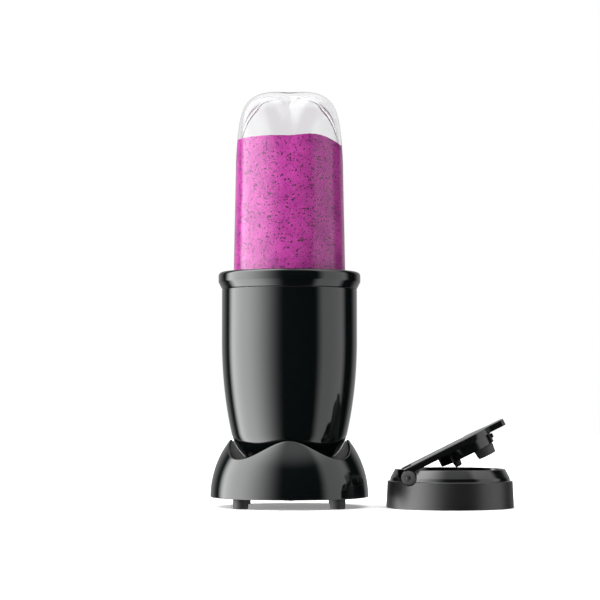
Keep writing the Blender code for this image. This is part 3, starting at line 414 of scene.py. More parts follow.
@dataclass(frozen=True)
class ClearPlastic(Finish):
    """Clear moulded plastic, faintly rippled, with fine rinse marks."""

    tint: Color = (0.86, 0.862, 0.866)
    shade: Color = (0.86, 0.87, 0.87)

    def build(self, shader: Shader) -> None:
        """Fills the shader. Lamps pass through it with a light shade."""
        marks = shader.noise(140.0, 4.0, 0.7, shader.stretched(1.0, 1.0, 0.25))
        shader.set(Base_Color=self.tint, Transmission_Weight=1.0, IOR=1.33)
        shader.set(Roughness=(marks - 0.55).clipped() * 0.12 + 0.004)
        shader.bump(shader.noise(30.0, 1.0), 0.00006)
        path = shader.node("ShaderNodeLightPath")
        through = shader.node("ShaderNodeBsdfTransparent", Color=(*self.shade, 1.0))
        mixed = shader.node("ShaderNodeMixShader", i0=path.outputs["Is Shadow Ray"],
                            i1=shader.surface.outputs[0], i2=through.outputs[0])
        shader.feed(shader.output.inputs["Surface"], mixed.outputs[0])


@dataclass(frozen=True)
class BerryDrink(Finish):
    """Thick berry drink: mottled magenta with dark skin flecks, crushed seeds and small bubbles."""

    deep: Color = (0.31, 0.02, 0.22)
    bright: Color = (0.62, 0.07, 0.41)
    fleck: Color = (0.012, 0.002, 0.010)

    def build(self, shader: Shader) -> None:
        """Fills the shader."""
        cloud = shader.noise(70.0, 4.0, 0.6)
        pulp = shader.noise(700.0, 3.0, 0.6)
        body = shader.mix((cloud * 1.6 - 0.35).clipped(), self.deep, self.bright)
        body = shader.mix((pulp - 0.52).clipped() * 1.6, body, (0.70, 0.11, 0.46))
        flecks = self._spots(shader, 430.0, 0.16, 0.30)
        specks = self._spots(shader, 900.0, 0.20, 0.42)
        froth = shader.cells(1500.0)
        skin = shader.mix(specks, body, (0.10, 0.006, 0.07))
        skin = shader.mix(flecks, skin, self.fleck)
        shader.set(Base_Color=skin, Subsurface_Weight=0.25, Subsurface_Radius=(0.004, 0.001, 0.003))
        shader.set(Subsurface_Scale=0.5, Roughness=froth * 0.3 + 0.28, Specular_IOR_Level=0.2)
        shader.bump(froth + pulp, 0.00012)

    @staticmethod
    def _spots(shader: Shader, per_metre: float, size: float, share: float) -> Value:
        """Ragged spots on a share of scattered cells."""
        ragged = shader.noise(per_metre * 3.0, 2.0) * 0.16
        near = 1.0 - (shader.cells(per_metre) + ragged).above(size + 0.08)
        chosen = shader.noise(per_metre * 0.31, 1.0).above(1.0 - share - 0.1)
        return near * chosen


GLOSS = GlossPlastic("gloss_housing", "gloss_housing")
LID_GLOSS = GlossPlastic("lid_gloss", "gloss_housing", (0.003, 0.0032, 0.0034), 0.09)
LID_SATIN = GrainPlastic("lid_satin", "gloss_housing", (0.0045, 0.0045, 0.005), 0.36, 5200.0, 0.00001)
# painted light: the webs are the housing's black plastic, painted pale grey in place of the light that
# falls on them
WEB_PAINTED_LIGHT = GrainPlastic("web_painted_light", "gloss_housing", (0.62, 0.62, 0.62), 0.45, 5200.0, 0.00001)
# painted light: the knuckle ends are the flap's black plastic, painted a lighter grey in place of the light
# that falls on them
KNUCKLE_PAINTED_LIGHT = GrainPlastic("knuckle_painted_light", "gloss_housing", (0.06, 0.06, 0.062), 0.4, 5200.0,
                             0.00001)
SATIN = GrainPlastic("satin_plastic", "satin_plastic")
INNER = GrainPlastic("inner_plastic", "inner_plastic", (0.05, 0.05, 0.052), 0.55, 2400.0)
PALE = GrainPlastic("pale_plastic", "pale_plastic", (0.72, 0.71, 0.66), 0.45, 1800.0)
CARBON = GrainPlastic("carbon", "carbon", (0.035, 0.035, 0.037), 0.62, 4200.0)
RUBBER = SoftRubber("rubber", "rubber")
FOOT_RUBBER = SoftRubber("foot_rubber", "rubber", (0.012, 0.012, 0.013))
PLUG_RUBBER = SoftRubber("plug_rubber", "rubber", (0.05, 0.05, 0.052))
STEEL = GroundSteel("steel", "steel")
LAMINATIONS = StackedSteel("laminations", "laminations")
COPPER = WoundCopper("copper", "copper")
BRONZE = SinteredBronze("bronze", "bronze")
BOARD = BoardLaminate("board", "board")
CLEAR = ClearPlastic("clear_cup", "clear_cup")
DRINK = BerryDrink("drink", "drink")
SEED = GrainPlastic("berry_seed", "drink", (0.010, 0.002, 0.008), 0.4, 2600.0)

SLOT_FINISHES = {
    finish.slot: finish
    for finish in (GLOSS, SATIN, INNER, PALE, CARBON, RUBBER, STEEL, LAMINATIONS, COPPER, BRONZE, BOARD,
                   CLEAR, DRINK)
}


# ------------------------------------------------------------------ mesh tools


def eased(points: Sequence[Numbers], steps: int = 5) -> list[Point]:
    """Rounds the corners of a closed outline.

    Args:
        points: (across, up), or (across, up, radius) for a corner to round.
        steps: how many edges each rounded corner gets.

    Returns:
        The outline with arcs in place of those corners.
    """
    made: list[Point] = []
    for index, point in enumerate(points):
        corner = Vector(point[:2])
        if len(point) == 2:
            made.append((corner.x, corner.y))
            continue
        before = Vector(points[index - 1][:2]) - corner
        after = Vector(points[(index + 1) % len(points)][:2]) - corner
        half = before.angle(after) / 2
        reach = min(point[2] / math.tan(half), 0.49 * before.length, 0.49 * after.length)
        radius = reach * math.tan(half)
        between = (before.normalized() + after.normalized()).normalized()
        middle = corner + between * (radius / math.sin(half))
        start = corner + before.normalized() * reach - middle
        end = corner + after.normalized() * reach - middle
        for step in range(steps + 1):
            spoke = start.lerp(end, step / steps).normalized() * radius
            made.append(((middle + spoke).x, (middle + spoke).y))
    return made


def arc(across: float, up: float, radius: float, start: float, end: float, steps: int) -> list[Point]:
    """Points on a circle between two angles in degrees."""
    angles = [math.radians(start + (end - start) * i / steps) for i in range(steps + 1)]
    return [(across + radius * math.cos(a), up + radius * math.sin(a)) for a in angles]


def baked(obj: Piece) -> Piece:
    """Turns an object's modifiers into plain mesh and removes them."""
    graph = bpy.context.evaluated_depsgraph_get()
    mesh = bpy.data.meshes.new_from_object(obj.evaluated_get(graph))
    obj.modifiers.clear()
    obj.data = mesh
    mesh.name = obj.name
    return obj


def remove(*objects: Piece) -> None:
    """Deletes helper objects."""
    for obj in objects:
        bpy.data.objects.remove(obj)


def carved(obj: Piece, *tools: Piece, how: str = "DIFFERENCE") -> Piece:
    """Cuts the tools away from an object, or joins them on.

    Args:
        obj: the piece that is changed.
        tools: the shapes that are used up.
        how: the Boolean operation.

    Returns:
        The piece.
    """
    for tool in tools:
        modifier = obj.modifiers.new(how.lower(), "BOOLEAN")
        modifier.operation = how
        modifier.solver = "EXACT"
        modifier.object = tool
    baked(obj)
    remove(*tools)
    return obj


def softened(obj: Piece, width: float, segments: int = 3) -> Piece:
    """Rounds every edge sharper than SOFT_ANGLE, by a width in millimetres."""
    modifier = obj.modifiers.new("soft_edges", "BEVEL")
    modifier.width = width * MM
    modifier.segments = segments
    modifier.limit_method = "ANGLE"
    modifier.angle_limit = SOFT_ANGLE
    modifier.miter_outer = "MITER_ARC"
    return baked(obj)


def smooth(obj: Piece) -> Piece:
    """Shades a mesh smooth, with edges over SHARP_ANGLE kept."""
    obj.data.shade_smooth()
    obj.data.set_sharp_from_angle(angle=SHARP_ANGLE)
    return obj


@dataclass(frozen=True)
class Bench:
    """Where a sub-assembly is made. Shapes are drawn in millimetres about its own upright axis."""

    place: Matrix

    def keep(self, name: str, bm: bmesh.types.BMesh) -> Piece:
        """Makes an object of a finished bmesh: merged, faces outwards, its place in its mesh."""
        bmesh.ops.remove_doubles(bm, verts=bm.verts, dist=MERGE)
        bmesh.ops.recalc_face_normals(bm, faces=bm.faces)
        bm.transform(self.place @ Matrix.Scale(MM, 4))
        mesh = bpy.data.meshes.new(name)
        bm.to_mesh(mesh)
        bm.free()
        made = bpy.data.objects.new(name, mesh)
        bpy.context.scene.collection.objects.link(made)
        return smooth(made)

    def loft(self, name: str, section: Callable[[float], Sequence[Point]], steps: int = 160,
             closed: bool = True) -> Piece:
        """A shape whose section changes round the axis.

        Args:
            name: the object's name.
            section: gives the (radius, height) outline at an angle.
            steps: how many sections.
            closed: whether the outline closes on itself. An open one starts and ends on the axis.

        Returns:
            The object.
        """
        bm = bmesh.new()
        rows = []
        for step in range(steps):
            angle = 2 * math.pi * step / steps
            c, s = math.cos(angle), math.sin(angle)
            rows.append([bm.verts.new((r * c, r * s, z)) for r, z in section(angle)])
        for row, after in zip(rows, rows[1:] + rows[:1]):
            for j in range(len(row) if closed else len(row) - 1):
                k = (j + 1) % len(row)
                bm.faces.new((row[j], row[k], after[k], after[j]))
        return self.keep(name, bm)

    def turned(self, name: str, outline: Sequence[Numbers], steps: int = 160,
               closed: bool = True) -> Piece:
        """A lathe-turned shape of an outline with rounded corners."""
        points = eased(outline)
        return self.loft(name, lambda angle: points, steps, closed)

    def prism(self, name: str, outline: Sequence[Point], low: float, high: float) -> Piece:
        """An outline seen from above, pulled up from one height to another."""
        bm = bmesh.new()
        under = [bm.verts.new((x, y, low)) for x, y in outline]
        over = [bm.verts.new((x, y, high)) for x, y in outline]
        bm.faces.new(under[::-1])
        bm.faces.new(over)
        for i in range(len(outline)):
            j = (i + 1) % len(outline)
            bm.faces.new((under[i], under[j], over[j], over[i]))
        return self.keep(name, bm)

    def block(self, name: str, low: Sequence[float], high: Sequence[float],
              turn: float = 0.0) -> Piece:
        """A box between two corners, turned round the axis."""
        bm = bmesh.new()
        bmesh.ops.create_cube(bm, size=1.0)
        size = Vector(high) - Vector(low)
        shift = Matrix.Translation((Vector(high) + Vector(low)) / 2)
        bm.transform(Matrix.Rotation(turn, 4, "Z") @ shift @ Matrix.Diagonal((*size, 1.0)))
        return self.keep(name, bm)

    def rod(self, name: str, radius: float, start: Sequence[float], end: Sequence[float], sides: int = 64,
            ease: float = 0.0, far: float | None = None) -> Piece:
        """A round bar.

        Args:
            name: the object's name.
            radius: at the start.
            start: middle of its first face.
            end: middle of its last face.
            sides: how many sides.
            ease: radius of its rounded ends.
            far: radius at the end, where it tapers.

        Returns:
            The object.
        """
        along = Vector(end) - Vector(start)
        outline = eased([(0.0, 0.0), (radius, 0.0, ease) if ease else (radius, 0.0),
                         (far or radius, along.length, ease) if ease else (far or radius, along.length),
                         (0.0, along.length)])
        stand = Matrix.Translation(start) @ along.to_track_quat("Z", "Y").to_matrix().to_4x4()
        return Bench(self.place @ Matrix.Scale(MM, 4) @ stand @ Matrix.Scale(1 / MM, 4)).loft(
            name, lambda angle: outline, sides, closed=False)


def dress(obj: Piece, body: Body | str, finish: Finish, *nodes: str) -> Piece:
    """Gives a piece its finish and body, and hides the CAD nodes it stands for."""
    obj.data.materials.clear()
    obj.data.materials.append(finish.material())
    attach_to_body(obj, body.value if isinstance(body, Body) else body)
    if nodes:
        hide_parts(*nodes)
    LOG.info("%s: %d faces, %s", obj.name, len(obj.data.polygons), finish.name)
    return obj


def repaint(obj: Piece, finish: Finish, chosen: Callable[[Vector], bool]) -> None:
    """Gives a second finish to the faces whose middle is chosen."""
    obj.data.materials.append(finish.material())
    for face in obj.data.polygons:
        if chosen(face.center):
            face.material_index = 1


def attach(obj: Piece, body: Body) -> None:
    """Puts a grown piece on its body."""
    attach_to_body(obj, body.value)


# ------------------------------------------------------------------ repeats, by Geometry Nodes


class Pattern(Graph):
    """A Geometry Nodes tree with named sizes, run once and kept as a plain mesh."""

    def __init__(self, name: str, **sizes: float) -> None:
        """Makes the tree with one input for each size."""
        super().__init__(bpy.data.node_groups.new(name, "GeometryNodeTree"))
        face = self.tree.interface
        face.new_socket("Geometry", in_out="INPUT", socket_type="NodeSocketGeometry")
        face.new_socket("Geometry", in_out="OUTPUT", socket_type="NodeSocketGeometry")
        self.given = sizes
        for size, value in sizes.items():
            kind = "NodeSocketInt" if isinstance(value, int) else "NodeSocketFloat"
            face.new_socket(size, in_out="INPUT", socket_type=kind)
        self.start = self.node("NodeGroupInput")
        self.carrier = self.start.outputs["Geometry"]

    def size(self, name: str) -> Value:
        """The input of this name."""
        return Value(self, self.start.outputs[name])

    def point(self, x: Any, y: Any, z: Any) -> Socket:
        """A vector of three values or numbers."""
        return self.node("ShaderNodeCombineXYZ", X=x, Y=y, Z=z).outputs[0]

    def swept(self, path: Socket, wide: Any, high: Any) -> Socket:
        """A bar of elliptic section along a path, with closed ends."""
        ring = self.node("GeometryNodeCurvePrimitiveCircle", Resolution=8, Radius=1.0).outputs[0]
        size = self.point(wide, high, 1.0)
        flat = self.node("GeometryNodeTransform", Geometry=ring, Scale=size).outputs[0]
        made = self.node("GeometryNodeCurveToMesh", Curve=path, Profile_Curve=flat)
        self.feed(made.inputs["Fill Caps"], True)
        return made.outputs[0]

    def grown(self, name: str, shape: Socket, finish: Finish,
              carrier: Piece | None = None) -> Piece:
        """Runs the tree and keeps its result.

        Args:
            name: the new object's name.
            shape: the geometry that the tree ends with.
            finish: the material that the tree sets.
            carrier: the mesh that the tree starts from, where it needs one.

        Returns:
            A plain mesh object at the origin.
        """
        real = self.node("GeometryNodeRealizeInstances", Geometry=shape).outputs[0]
        painted = self.node("GeometryNodeSetMaterial", Geometry=real, Material=finish.material()).outputs[0]
        end = self.node("NodeGroupOutput")
        self.tree.links.new(painted, end.inputs[0])
        mesh = carrier.data if carrier else bpy.data.meshes.new(name)
        made = bpy.data.objects.new(name, mesh)
        bpy.context.scene.collection.objects.link(made)
        modifier = made.modifiers.new("pattern", "NODES")
        modifier.node_group = self.tree
        for item in self.tree.interface.items_tree:
            if item.in_out == "INPUT" and item.name in self.given:
                modifier[item.identifier] = self.given[item.name]
        made.update_tag()
        smooth(baked(made))
        LOG.info("%s: %d faces, %s", name, len(made.data.polygons), finish.name)
        return made


def coil(name: str, finish: Finish, foot: Sequence[Vector], **sizes: float) -> Piece:
    """Helical wires or thread ridges, one standing at each foot.

    Args:
        name: the object's name.
        finish: its finish.
        foot: where each coil's axis starts, in metres.
        sizes: radius, rise, turns, wide and high, in metres.

    Returns:
        The object.
    """
    tree = Pattern(name + "_pattern", **sizes)
    spiral = tree.node("GeometryNodeCurveSpiral", Resolution=44, Rotations=tree.size("turns"),
                       Start_Radius=tree.size("radius"), End_Radius=tree.size("radius"),
                       Height=tree.size("rise"))
    wire = tree.swept(spiral.outputs[0], tree.size("wide"), tree.size("high"))
    join = tree.node("GeometryNodeJoinGeometry")
    for place in foot:
        stood = tree.node("GeometryNodeTransform", Geometry=wire, Translation=tuple(place))
        tree.tree.links.new(stood.outputs[0], join.inputs[0])
    return tree.grown(name, join.outputs[0], finish)


def ribbed(name: str, finish: Finish, foot: Vector, **sizes: float) -> Piece:
    """Upright grip ribs in a ring.

    Args:
        name: the object's name.
        finish: its finish.
        foot: middle of the ring's lower edge, in metres.
        sizes: count, radius, tall, wide and proud, in metres.

    Returns:
        The object.
    """
    tree = Pattern(name + "_pattern", **sizes)
    path = tree.node("GeometryNodeCurvePrimitiveCircle", Resolution=tree.size("count"),
                     Radius=tree.size("radius")).outputs[0]
    bar = tree.node("GeometryNodeMeshUVSphere", Segments=8, Rings=7, Radius=1.0).outputs[0]
    shape = tree.point(tree.size("proud"), tree.size("wide"), tree.size("tall") * 0.5)
    long_bar = tree.node("GeometryNodeTransform", Geometry=bar, Scale=shape).outputs[0]
    position = tree.node("GeometryNodeInputPosition").outputs[0]
    facing = tree.node("FunctionNodeAlignRotationToVector", {"axis": "X"}, Vector=position)
    points = tree.node("GeometryNodeInstanceOnPoints", Points=path, Instance=long_bar,
                       Rotation=facing.outputs[0]).outputs[0]
    lift = tree.point(foot.x, foot.y, tree.size("tall") * 0.5 + foot.z)
    stood = tree.node("GeometryNodeTransform", Geometry=points, Translation=lift).outputs[0]
    return tree.grown(name, stood, finish)


def sown(name: str, finish: Finish, ground: Piece, seed: int,
         **sizes: float) -> Piece:
    """Small seeds scattered over a surface, half sunk in it.

    Args:
        name: the object's name.
        finish: its finish.
        ground: the surface.
        seed: for the scatter.
        sizes: spread in seeds to the square metre, then least and most seed radius in metres.

    Returns:
        The object.
    """
    tree = Pattern(name + "_pattern", **sizes)
    scatter = tree.node("GeometryNodeDistributePointsOnFaces", Mesh=tree.carrier,
                        Density=tree.size("spread"), Seed=seed)
    grain = tree.node("GeometryNodeMeshIcoSphere", Radius=1.0, Subdivisions=1).outputs[0]
    size = tree.node("FunctionNodeRandomValue", {"data_type": "FLOAT"}, Seed=seed + 1)
    tree.feed(size.inputs[2], tree.size("least"))
    tree.feed(size.inputs[3], tree.size("most"))
    long = Value(tree, size.outputs[1])
    spin = tree.node("FunctionNodeRandomValue", {"data_type": "FLOAT"}, Seed=seed + 2)
    tree.feed(spin.inputs[3], 2 * math.pi)
    turn = tree.node("FunctionNodeRotateRotation", {"rotation_space": "LOCAL"},
                     Rotation=scatter.outputs["Rotation"],
                     Rotate_By=tree.point(0.0, 0.0, Value(tree, spin.outputs[1])))
    grown = tree.node("GeometryNodeInstanceOnPoints", Points=scatter.outputs["Points"], Instance=grain,
                      Rotation=turn.outputs[0], Scale=tree.point(long, long * 0.6, long * 0.4))
    return tree.grown(name, grown.outputs[0], finish, ground)


# ------------------------------------------------------------------ the base


TAB_TURNS = tuple(math.radians(-90 + 120 * i) for i in range(3))


@dataclass
class Skirt:
    """The flared skirt with its four-lobed top edge and its webs, and the four feet."""

    bench: Bench
    radius: float = 56.8
    low: float = 7.0
    dome: float = 62.0
    wall: float = 2.2
    peak: float = 48.0
    valley: float = 34.8
    foot_radius: float = 5.5
    foot_high: float = 7.7
    foot_out: float = 34.0
    gland_z: float = 22.0
    gland_hole: float = 5.3
    web_low: float = 33.0
    web_top: float = 47.0
    web_thick: float = 2.0
    bowl: Triple = (11.2, 59.0, 31.0)

    def outside(self, z: float) -> float:
        """The skirt's outer radius at a height."""
        return self.radius * math.sqrt(1 - ((z - self.low) / self.dome) ** 2)

    def section(self, angle: float) -> list[Point]:
        """The wall's outline at an angle, its edges rounded."""
        top = (self.peak + self.valley) / 2 + (self.peak - self.valley) / 2 * math.cos(4 * angle)
        steps = 26
        heights = [top + (self.low - top) * i / steps for i in range(steps + 1)]
        outer: list[Numbers] = [(self.outside(z), z) for z in heights]
        inner: list[Numbers] = [(r - self.wall, z) for r, z in reversed(outer)]
        outer[0], outer[-1] = (*outer[0], 1.0), (*outer[-1], 0.7)
        inner[0], inner[-1] = (*inner[0], 0.5), (*inner[-1], 0.7)
        return eased(outer + inner, 4)

    def on_web(self, middle: Vector) -> bool:
        """Whether a face with this middle belongs to a web."""
        out = (middle - self.bench.place.translation).xy / MM
        beside = min(abs(out.x), abs(out.y)) < self.web_thick / 2 + NEAR
        inside = out.length < self.outside(middle.z / MM) - self.wall - NEAR
        return beside and inside and self.web_low * MM < middle.z

    def webs(self) -> list[Piece]:
        """The four webs inside the lobes, beside the bowl."""
        across, up, radius = self.bowl
        steps = 12
        heights = [self.web_low + (self.web_top - self.web_low) * i / steps for i in range(steps + 1)]
        inner = [(across + math.sqrt(radius ** 2 - (up - z) ** 2) + WEB_GAP, z) for z in heights]
        outline = [(self.outside(z) - self.wall / 2, z) for z in heights] + inner[::-1]
        made = []
        for i in range(4):
            turned = Matrix.Rotation(math.pi / 2 * i, 4, "Z") @ Matrix.Rotation(math.pi / 2, 4, "X")
            stand = Bench(self.bench.place @ turned)
            made.append(stand.prism("web", outline, -self.web_thick / 2, self.web_thick / 2))
        return made

    def build(self) -> None:
        """Makes the skirt and the feet."""
        skirt = self.bench.loft("skirt_shell", self.section, 192)
        hole = self.bench.rod("gland_hole", self.gland_hole, (0, 40, self.gland_z), (0, 70, self.gland_z))
        carved(skirt, *self.webs(), how="UNION")
        dress(smooth(carved(skirt, hole)), Body.BASE, GLOSS, "skirt")
        # painted light: the web faces get the pale grey that stands in for light on them
        repaint(skirt, WEB_PAINTED_LIGHT, self.on_web)
        for side, across, deep in (("left_front", -1, -1), ("right_front", 1, -1), ("left_back", -1, 1),
                                   ("right_back", 1, 1)):
            x, y = across * self.foot_out, deep * self.foot_out
            foot = self.bench.rod("foot_" + side + "_pad", self.foot_radius, (x, y, self.foot_high),
                                  (x, y, 0), ease=0.9, far=self.foot_radius - 0.2)
            dress(foot, Body.BASE, FOOT_RUBBER, "foot_" + side)


@dataclass
class Housing:
    """The tall housing and the collar on it."""

    bench: Bench
    radius: float = 48.7
    wall: float = 2.3
    top: float = 156.0
    straight: float = 120.0
    taper: float = 129.0
    bowl_top: float = 52.0
    bowl_radius: float = 31.0
    stem: float = 26.0
    low: float = 10.8
    collar_radius: float = 51.2
    collar_low: float = 156.3
    collar_high: float = 12.0
    lip: float = 41.3
    lip_thick: float = 7.8
    bore: float = 44.5
    slot_reach: float = 44.45
    slot_half: float = 6.8

    def side(self, inset: float) -> list[Point]:
        """The housing's wall from its top to its stem, moved inwards by an inset."""
        count = 26
        heights = [self.straight + (self.bowl_top - self.straight) * i / count for i in range(count + 1)]
        wall = [(self.radius * math.sqrt(1 - ((self.straight - z) / self.taper) ** 2), z) for z in heights]
        radius, height = wall[-1]
        depth = (self.straight - height) / self.taper
        lean = math.atan(self.radius / self.taper * depth / math.sqrt(1 - depth ** 2))
        across = radius - self.bowl_radius * math.cos(lean)
        up = height + self.bowl_radius * math.sin(lean)
        last = math.degrees(math.acos((self.stem - across) / self.bowl_radius))
        bowl = arc(across, up, self.bowl_radius - inset, -math.degrees(lean), -last, 22)
        return [(r - inset, z) for r, z in wall[:-1]] + bowl

    def build(self) -> None:
        """Makes the housing and the collar."""
        outer = [(self.radius, self.top, 0.5), *self.side(0), (self.stem, self.low, 0.5)]
        inner = [(self.radius - self.wall, self.top, 0.3), *self.side(self.wall),
                 (self.stem - self.wall, self.low)]
        housing = self.bench.turned("housing_shell", outer + inner[::-1])
        dress(housing, Body.BASE, GLOSS, "housing")
        top = self.collar_low + self.collar_high
        lip_low = top - self.lip_thick
        outline = [(self.collar_radius, top, 2.5), (self.collar_radius, self.collar_low + 5, 3.0),
                   (self.radius + 0.4, self.collar_low + 0.8, 0.5), (self.radius, self.collar_low, 0.2),
                   (self.bore, self.collar_low), (self.bore, lip_low, 0.4), (self.lip, lip_low, 0.4),
                   (self.lip, top - 1.0, 0.6), (self.lip + 1.0, top, 0.5)]
        collar = self.bench.turned("collar_ring_shell", outline)
        slots = [self.bench.block("bayonet_slot", (self.lip - 4, -self.slot_half, lip_low - 1),
                                  (self.slot_reach, self.slot_half, top + 2), turn) for turn in TAB_TURNS]
        dress(smooth(softened(carved(collar, *slots), 0.35)), Body.BASE, GLOSS, "collar_ring")


# ------------------------------------------------------------------ the cup


@dataclass
class Cup:
    """The clear cup, the drink in it, and the blade holder screwed onto its mouth."""

    bench: Bench
    radius: float = 40.6
    step: float = 153.8
    taper: float = 0.0197
    wall: float = 2.0
    dome_from: float = 240.0
    dome: float = 58.3
    lobe_rise: float = 0.5
    crown_power: float = 9.0
    crown_share: float = 0.62
    thread: float = 38.7
    mouth: float = 145.2
    tab_out: float = 43.4
    tab_low: float = 155.05
    tab_high: float = 5.0
    tab_long: float = 12.0
    holder_low: float = 127.0
    holder_top: float = 153.5
    holder_floor: float = 141.0
    level: float = 262.9
    crest: Triple = (1.7, 17.0, 11.0)
    fall: Triple = (0.022, 22.0, 1.9)
    ripple: tuple[float, float] = (0.4, 9.0)
    tilt: float = 0.03
    sink: float = 0.25

    def shape(self, angle: float) -> Triple:
        """How full the closed end is at an angle: two powers, and how far up a lobe it is."""
        lobe = (1 - math.cos(4 * angle)) / 2
        return 2.5 + 9.0 * lobe, 2.0 + 0.2 * lobe, lobe

    def side(self, z: float, angle: float, inset: float = 0.0) -> float:
        """The wall's radius at a height."""
        radius = self.radius - self.taper * (min(z, self.dome_from) - self.step) - inset
        if z <= self.dome_from:
            return radius
        power, root, _ = self.shape(angle)
        return radius * (1 - ((z - self.dome_from) / (self.dome - inset)) ** power) ** (1 / root)

    def closed_end(self, angle: float, inset: float, steps: int) -> list[Point]:
        """The dome's outline at an angle, from its widest to its middle."""
        power, root, lobe = self.shape(angle)
        radius = self.side(self.dome_from, angle, inset)
        points = []
        for i in range(steps + 1):
            share = math.cos(math.pi / 2 * i / steps) ** (2 / root) if i < steps else 0.0
            own = min(1.0, share / self.crown_share) ** 2
            here = self.crown_power + (power - self.crown_power) * own
            z = self.dome_from + (self.dome - inset) * max(0.0, 1 - share ** root) ** (1 / here)
            points.append((radius * share, z + self.lobe_rise * lobe * math.sin(math.pi * share) ** 2))
        return points

    def section(self, angle: float) -> list[Point]:
        """The cup's wall from the middle of its closed end, down outside and back up inside."""
        outer = self.closed_end(angle, 0, 44)[::-1]
        heights = [self.dome_from - 4.0 * i for i in range(1, 21)]
        straight = [(self.side(z, angle), z) for z in heights]
        inside = self.thread - self.wall
        foot = [(self.radius, self.step), (self.thread, self.step), (self.thread, self.mouth),
                (inside, self.mouth), (inside, self.step + 1)]
        back = [(self.side(z, angle, self.wall), z) for z in reversed(heights)]
        return outer + straight + foot + back + self.closed_end(angle, self.wall, 40)

    def surface(self, radius: float, angle: float) -> float:
        """Height of the drink: a crest right of the middle, a fall beyond it and a slow ripple."""
        x, y = radius * math.cos(angle), radius * math.sin(angle)
        crest_high, crest_at, crest_wide = self.crest
        fall_rate, fall_from, fall_power = self.fall
        ripple_high, ripple_long = self.ripple
        swell = crest_high * math.exp(-((x - crest_at) / crest_wide) ** 2)
        swell -= fall_rate * max(0.0, x - fall_from) ** fall_power
        return self.level + swell + self.tilt * max(0.0, -x) + ripple_high * math.sin(y / ripple_long)

    def drink_section(self, angle: float) -> list[Point]:
        """The drink, sunk a little into the wall so that no air shows between them."""
        inset = self.wall - self.sink
        edge = self.side(self.level, angle, inset)
        top = [(edge * i / 16, self.surface(edge * i / 16, angle)) for i in range(17)]
        crest = self.surface(edge, angle)
        heights = [crest + (self.dome_from - crest) * i / 16 for i in range(1, 17)]
        heights += [self.dome_from - 5.0 * i for i in range(1, 17)]
        side = [(self.side(z, angle, inset), z) for z in heights]
        low = self.holder_floor + 3.0
        neck = self.thread - self.wall - 1.0
        return top + side + [(neck, self.step + 1), (neck, low), (25.5, low), (25.5, 165.0), (0.0, 167.0)]

    def build(self) -> None:
        """Makes the cup, the drink and the holder."""
        cup = self.bench.loft("cup_wall", self.section, 192, closed=False)
        tabs = [self.bench.block("tab", (self.radius - 1.2, -self.tab_long / 2, self.tab_low),
                                 (self.tab_out, self.tab_long / 2, self.tab_low + self.tab_high), turn)
                for turn in TAB_TURNS]
        dress(smooth(carved(cup, *tabs, how="UNION")), Body.CUP, CLEAR, "cup")
        drink = self.bench.loft("berry_drink", self.drink_section, 160, closed=False)
        dress(drink, Body.CUP, DRINK, "smoothie")
        self.sow(drink)
        self.build_holder()

    def sow(self, drink: Piece) -> None:
        """Scatters seeds over the drink's side and top."""
        bm = bmesh.new()
        bm.from_mesh(drink.data)
        hidden = [face for face in bm.faces if face.calc_center_median().z < (self.step + 10) * MM]
        bmesh.ops.delete(bm, geom=hidden, context="FACES")
        ground = bpy.data.objects.new("ground", bpy.data.meshes.new("ground"))
        bm.to_mesh(ground.data)
        bm.free()
        seeds = sown("berry_seeds", SEED, ground, 7, spread=130000.0, least=0.35 * MM, most=0.95 * MM)
        attach(seeds, Body.CUP)
        remove(ground)

    def build_holder(self) -> None:
        """The blade holder with its grip ribs, and the thread ridges on the cup's mouth."""
        inner, floor_top, hub = self.thread + 0.3, self.holder_floor + 2.0, 7.3
        outline = [(self.radius, self.holder_top, 0.5), (self.radius, self.holder_low, 0.8),
                   (inner, self.holder_low, 0.5), (inner, self.holder_floor, 0.8),
                   (11.0, self.holder_floor, 0.5), (11.0, self.holder_floor - 1.8, 0.6),
                   (hub, self.holder_floor - 1.8),
                   (hub, floor_top + 3.0), (10.0, floor_top + 3.0, 0.6), (11.5, floor_top, 0.6),
                   (inner, floor_top, 0.4), (inner, self.holder_top, 0.3)]
        dress(self.bench.turned("blade_holder_shell", outline), Body.CUP, SATIN, "blade_holder")
        foot = self.bench.place @ Vector((0, 0, (self.holder_low + 2.0) * MM))
        ribs = ribbed("holder_grip_ribs", SATIN, foot, count=72, radius=self.radius * MM, tall=22.0 * MM,
                      wide=0.7 * MM, proud=0.45 * MM)
        attach(ribs, Body.CUP)
        start = self.bench.place @ Vector((0, 0, (self.mouth + 1.5) * MM))
        thread = coil("cup_thread", CLEAR, [start], radius=(self.thread - 0.1) * MM, rise=5.0 * MM,
                      turns=1.6, wide=0.35 * MM, high=0.9 * MM)
        attach(thread, Body.CUP)


# ------------------------------------------------------------------ the drinking lid


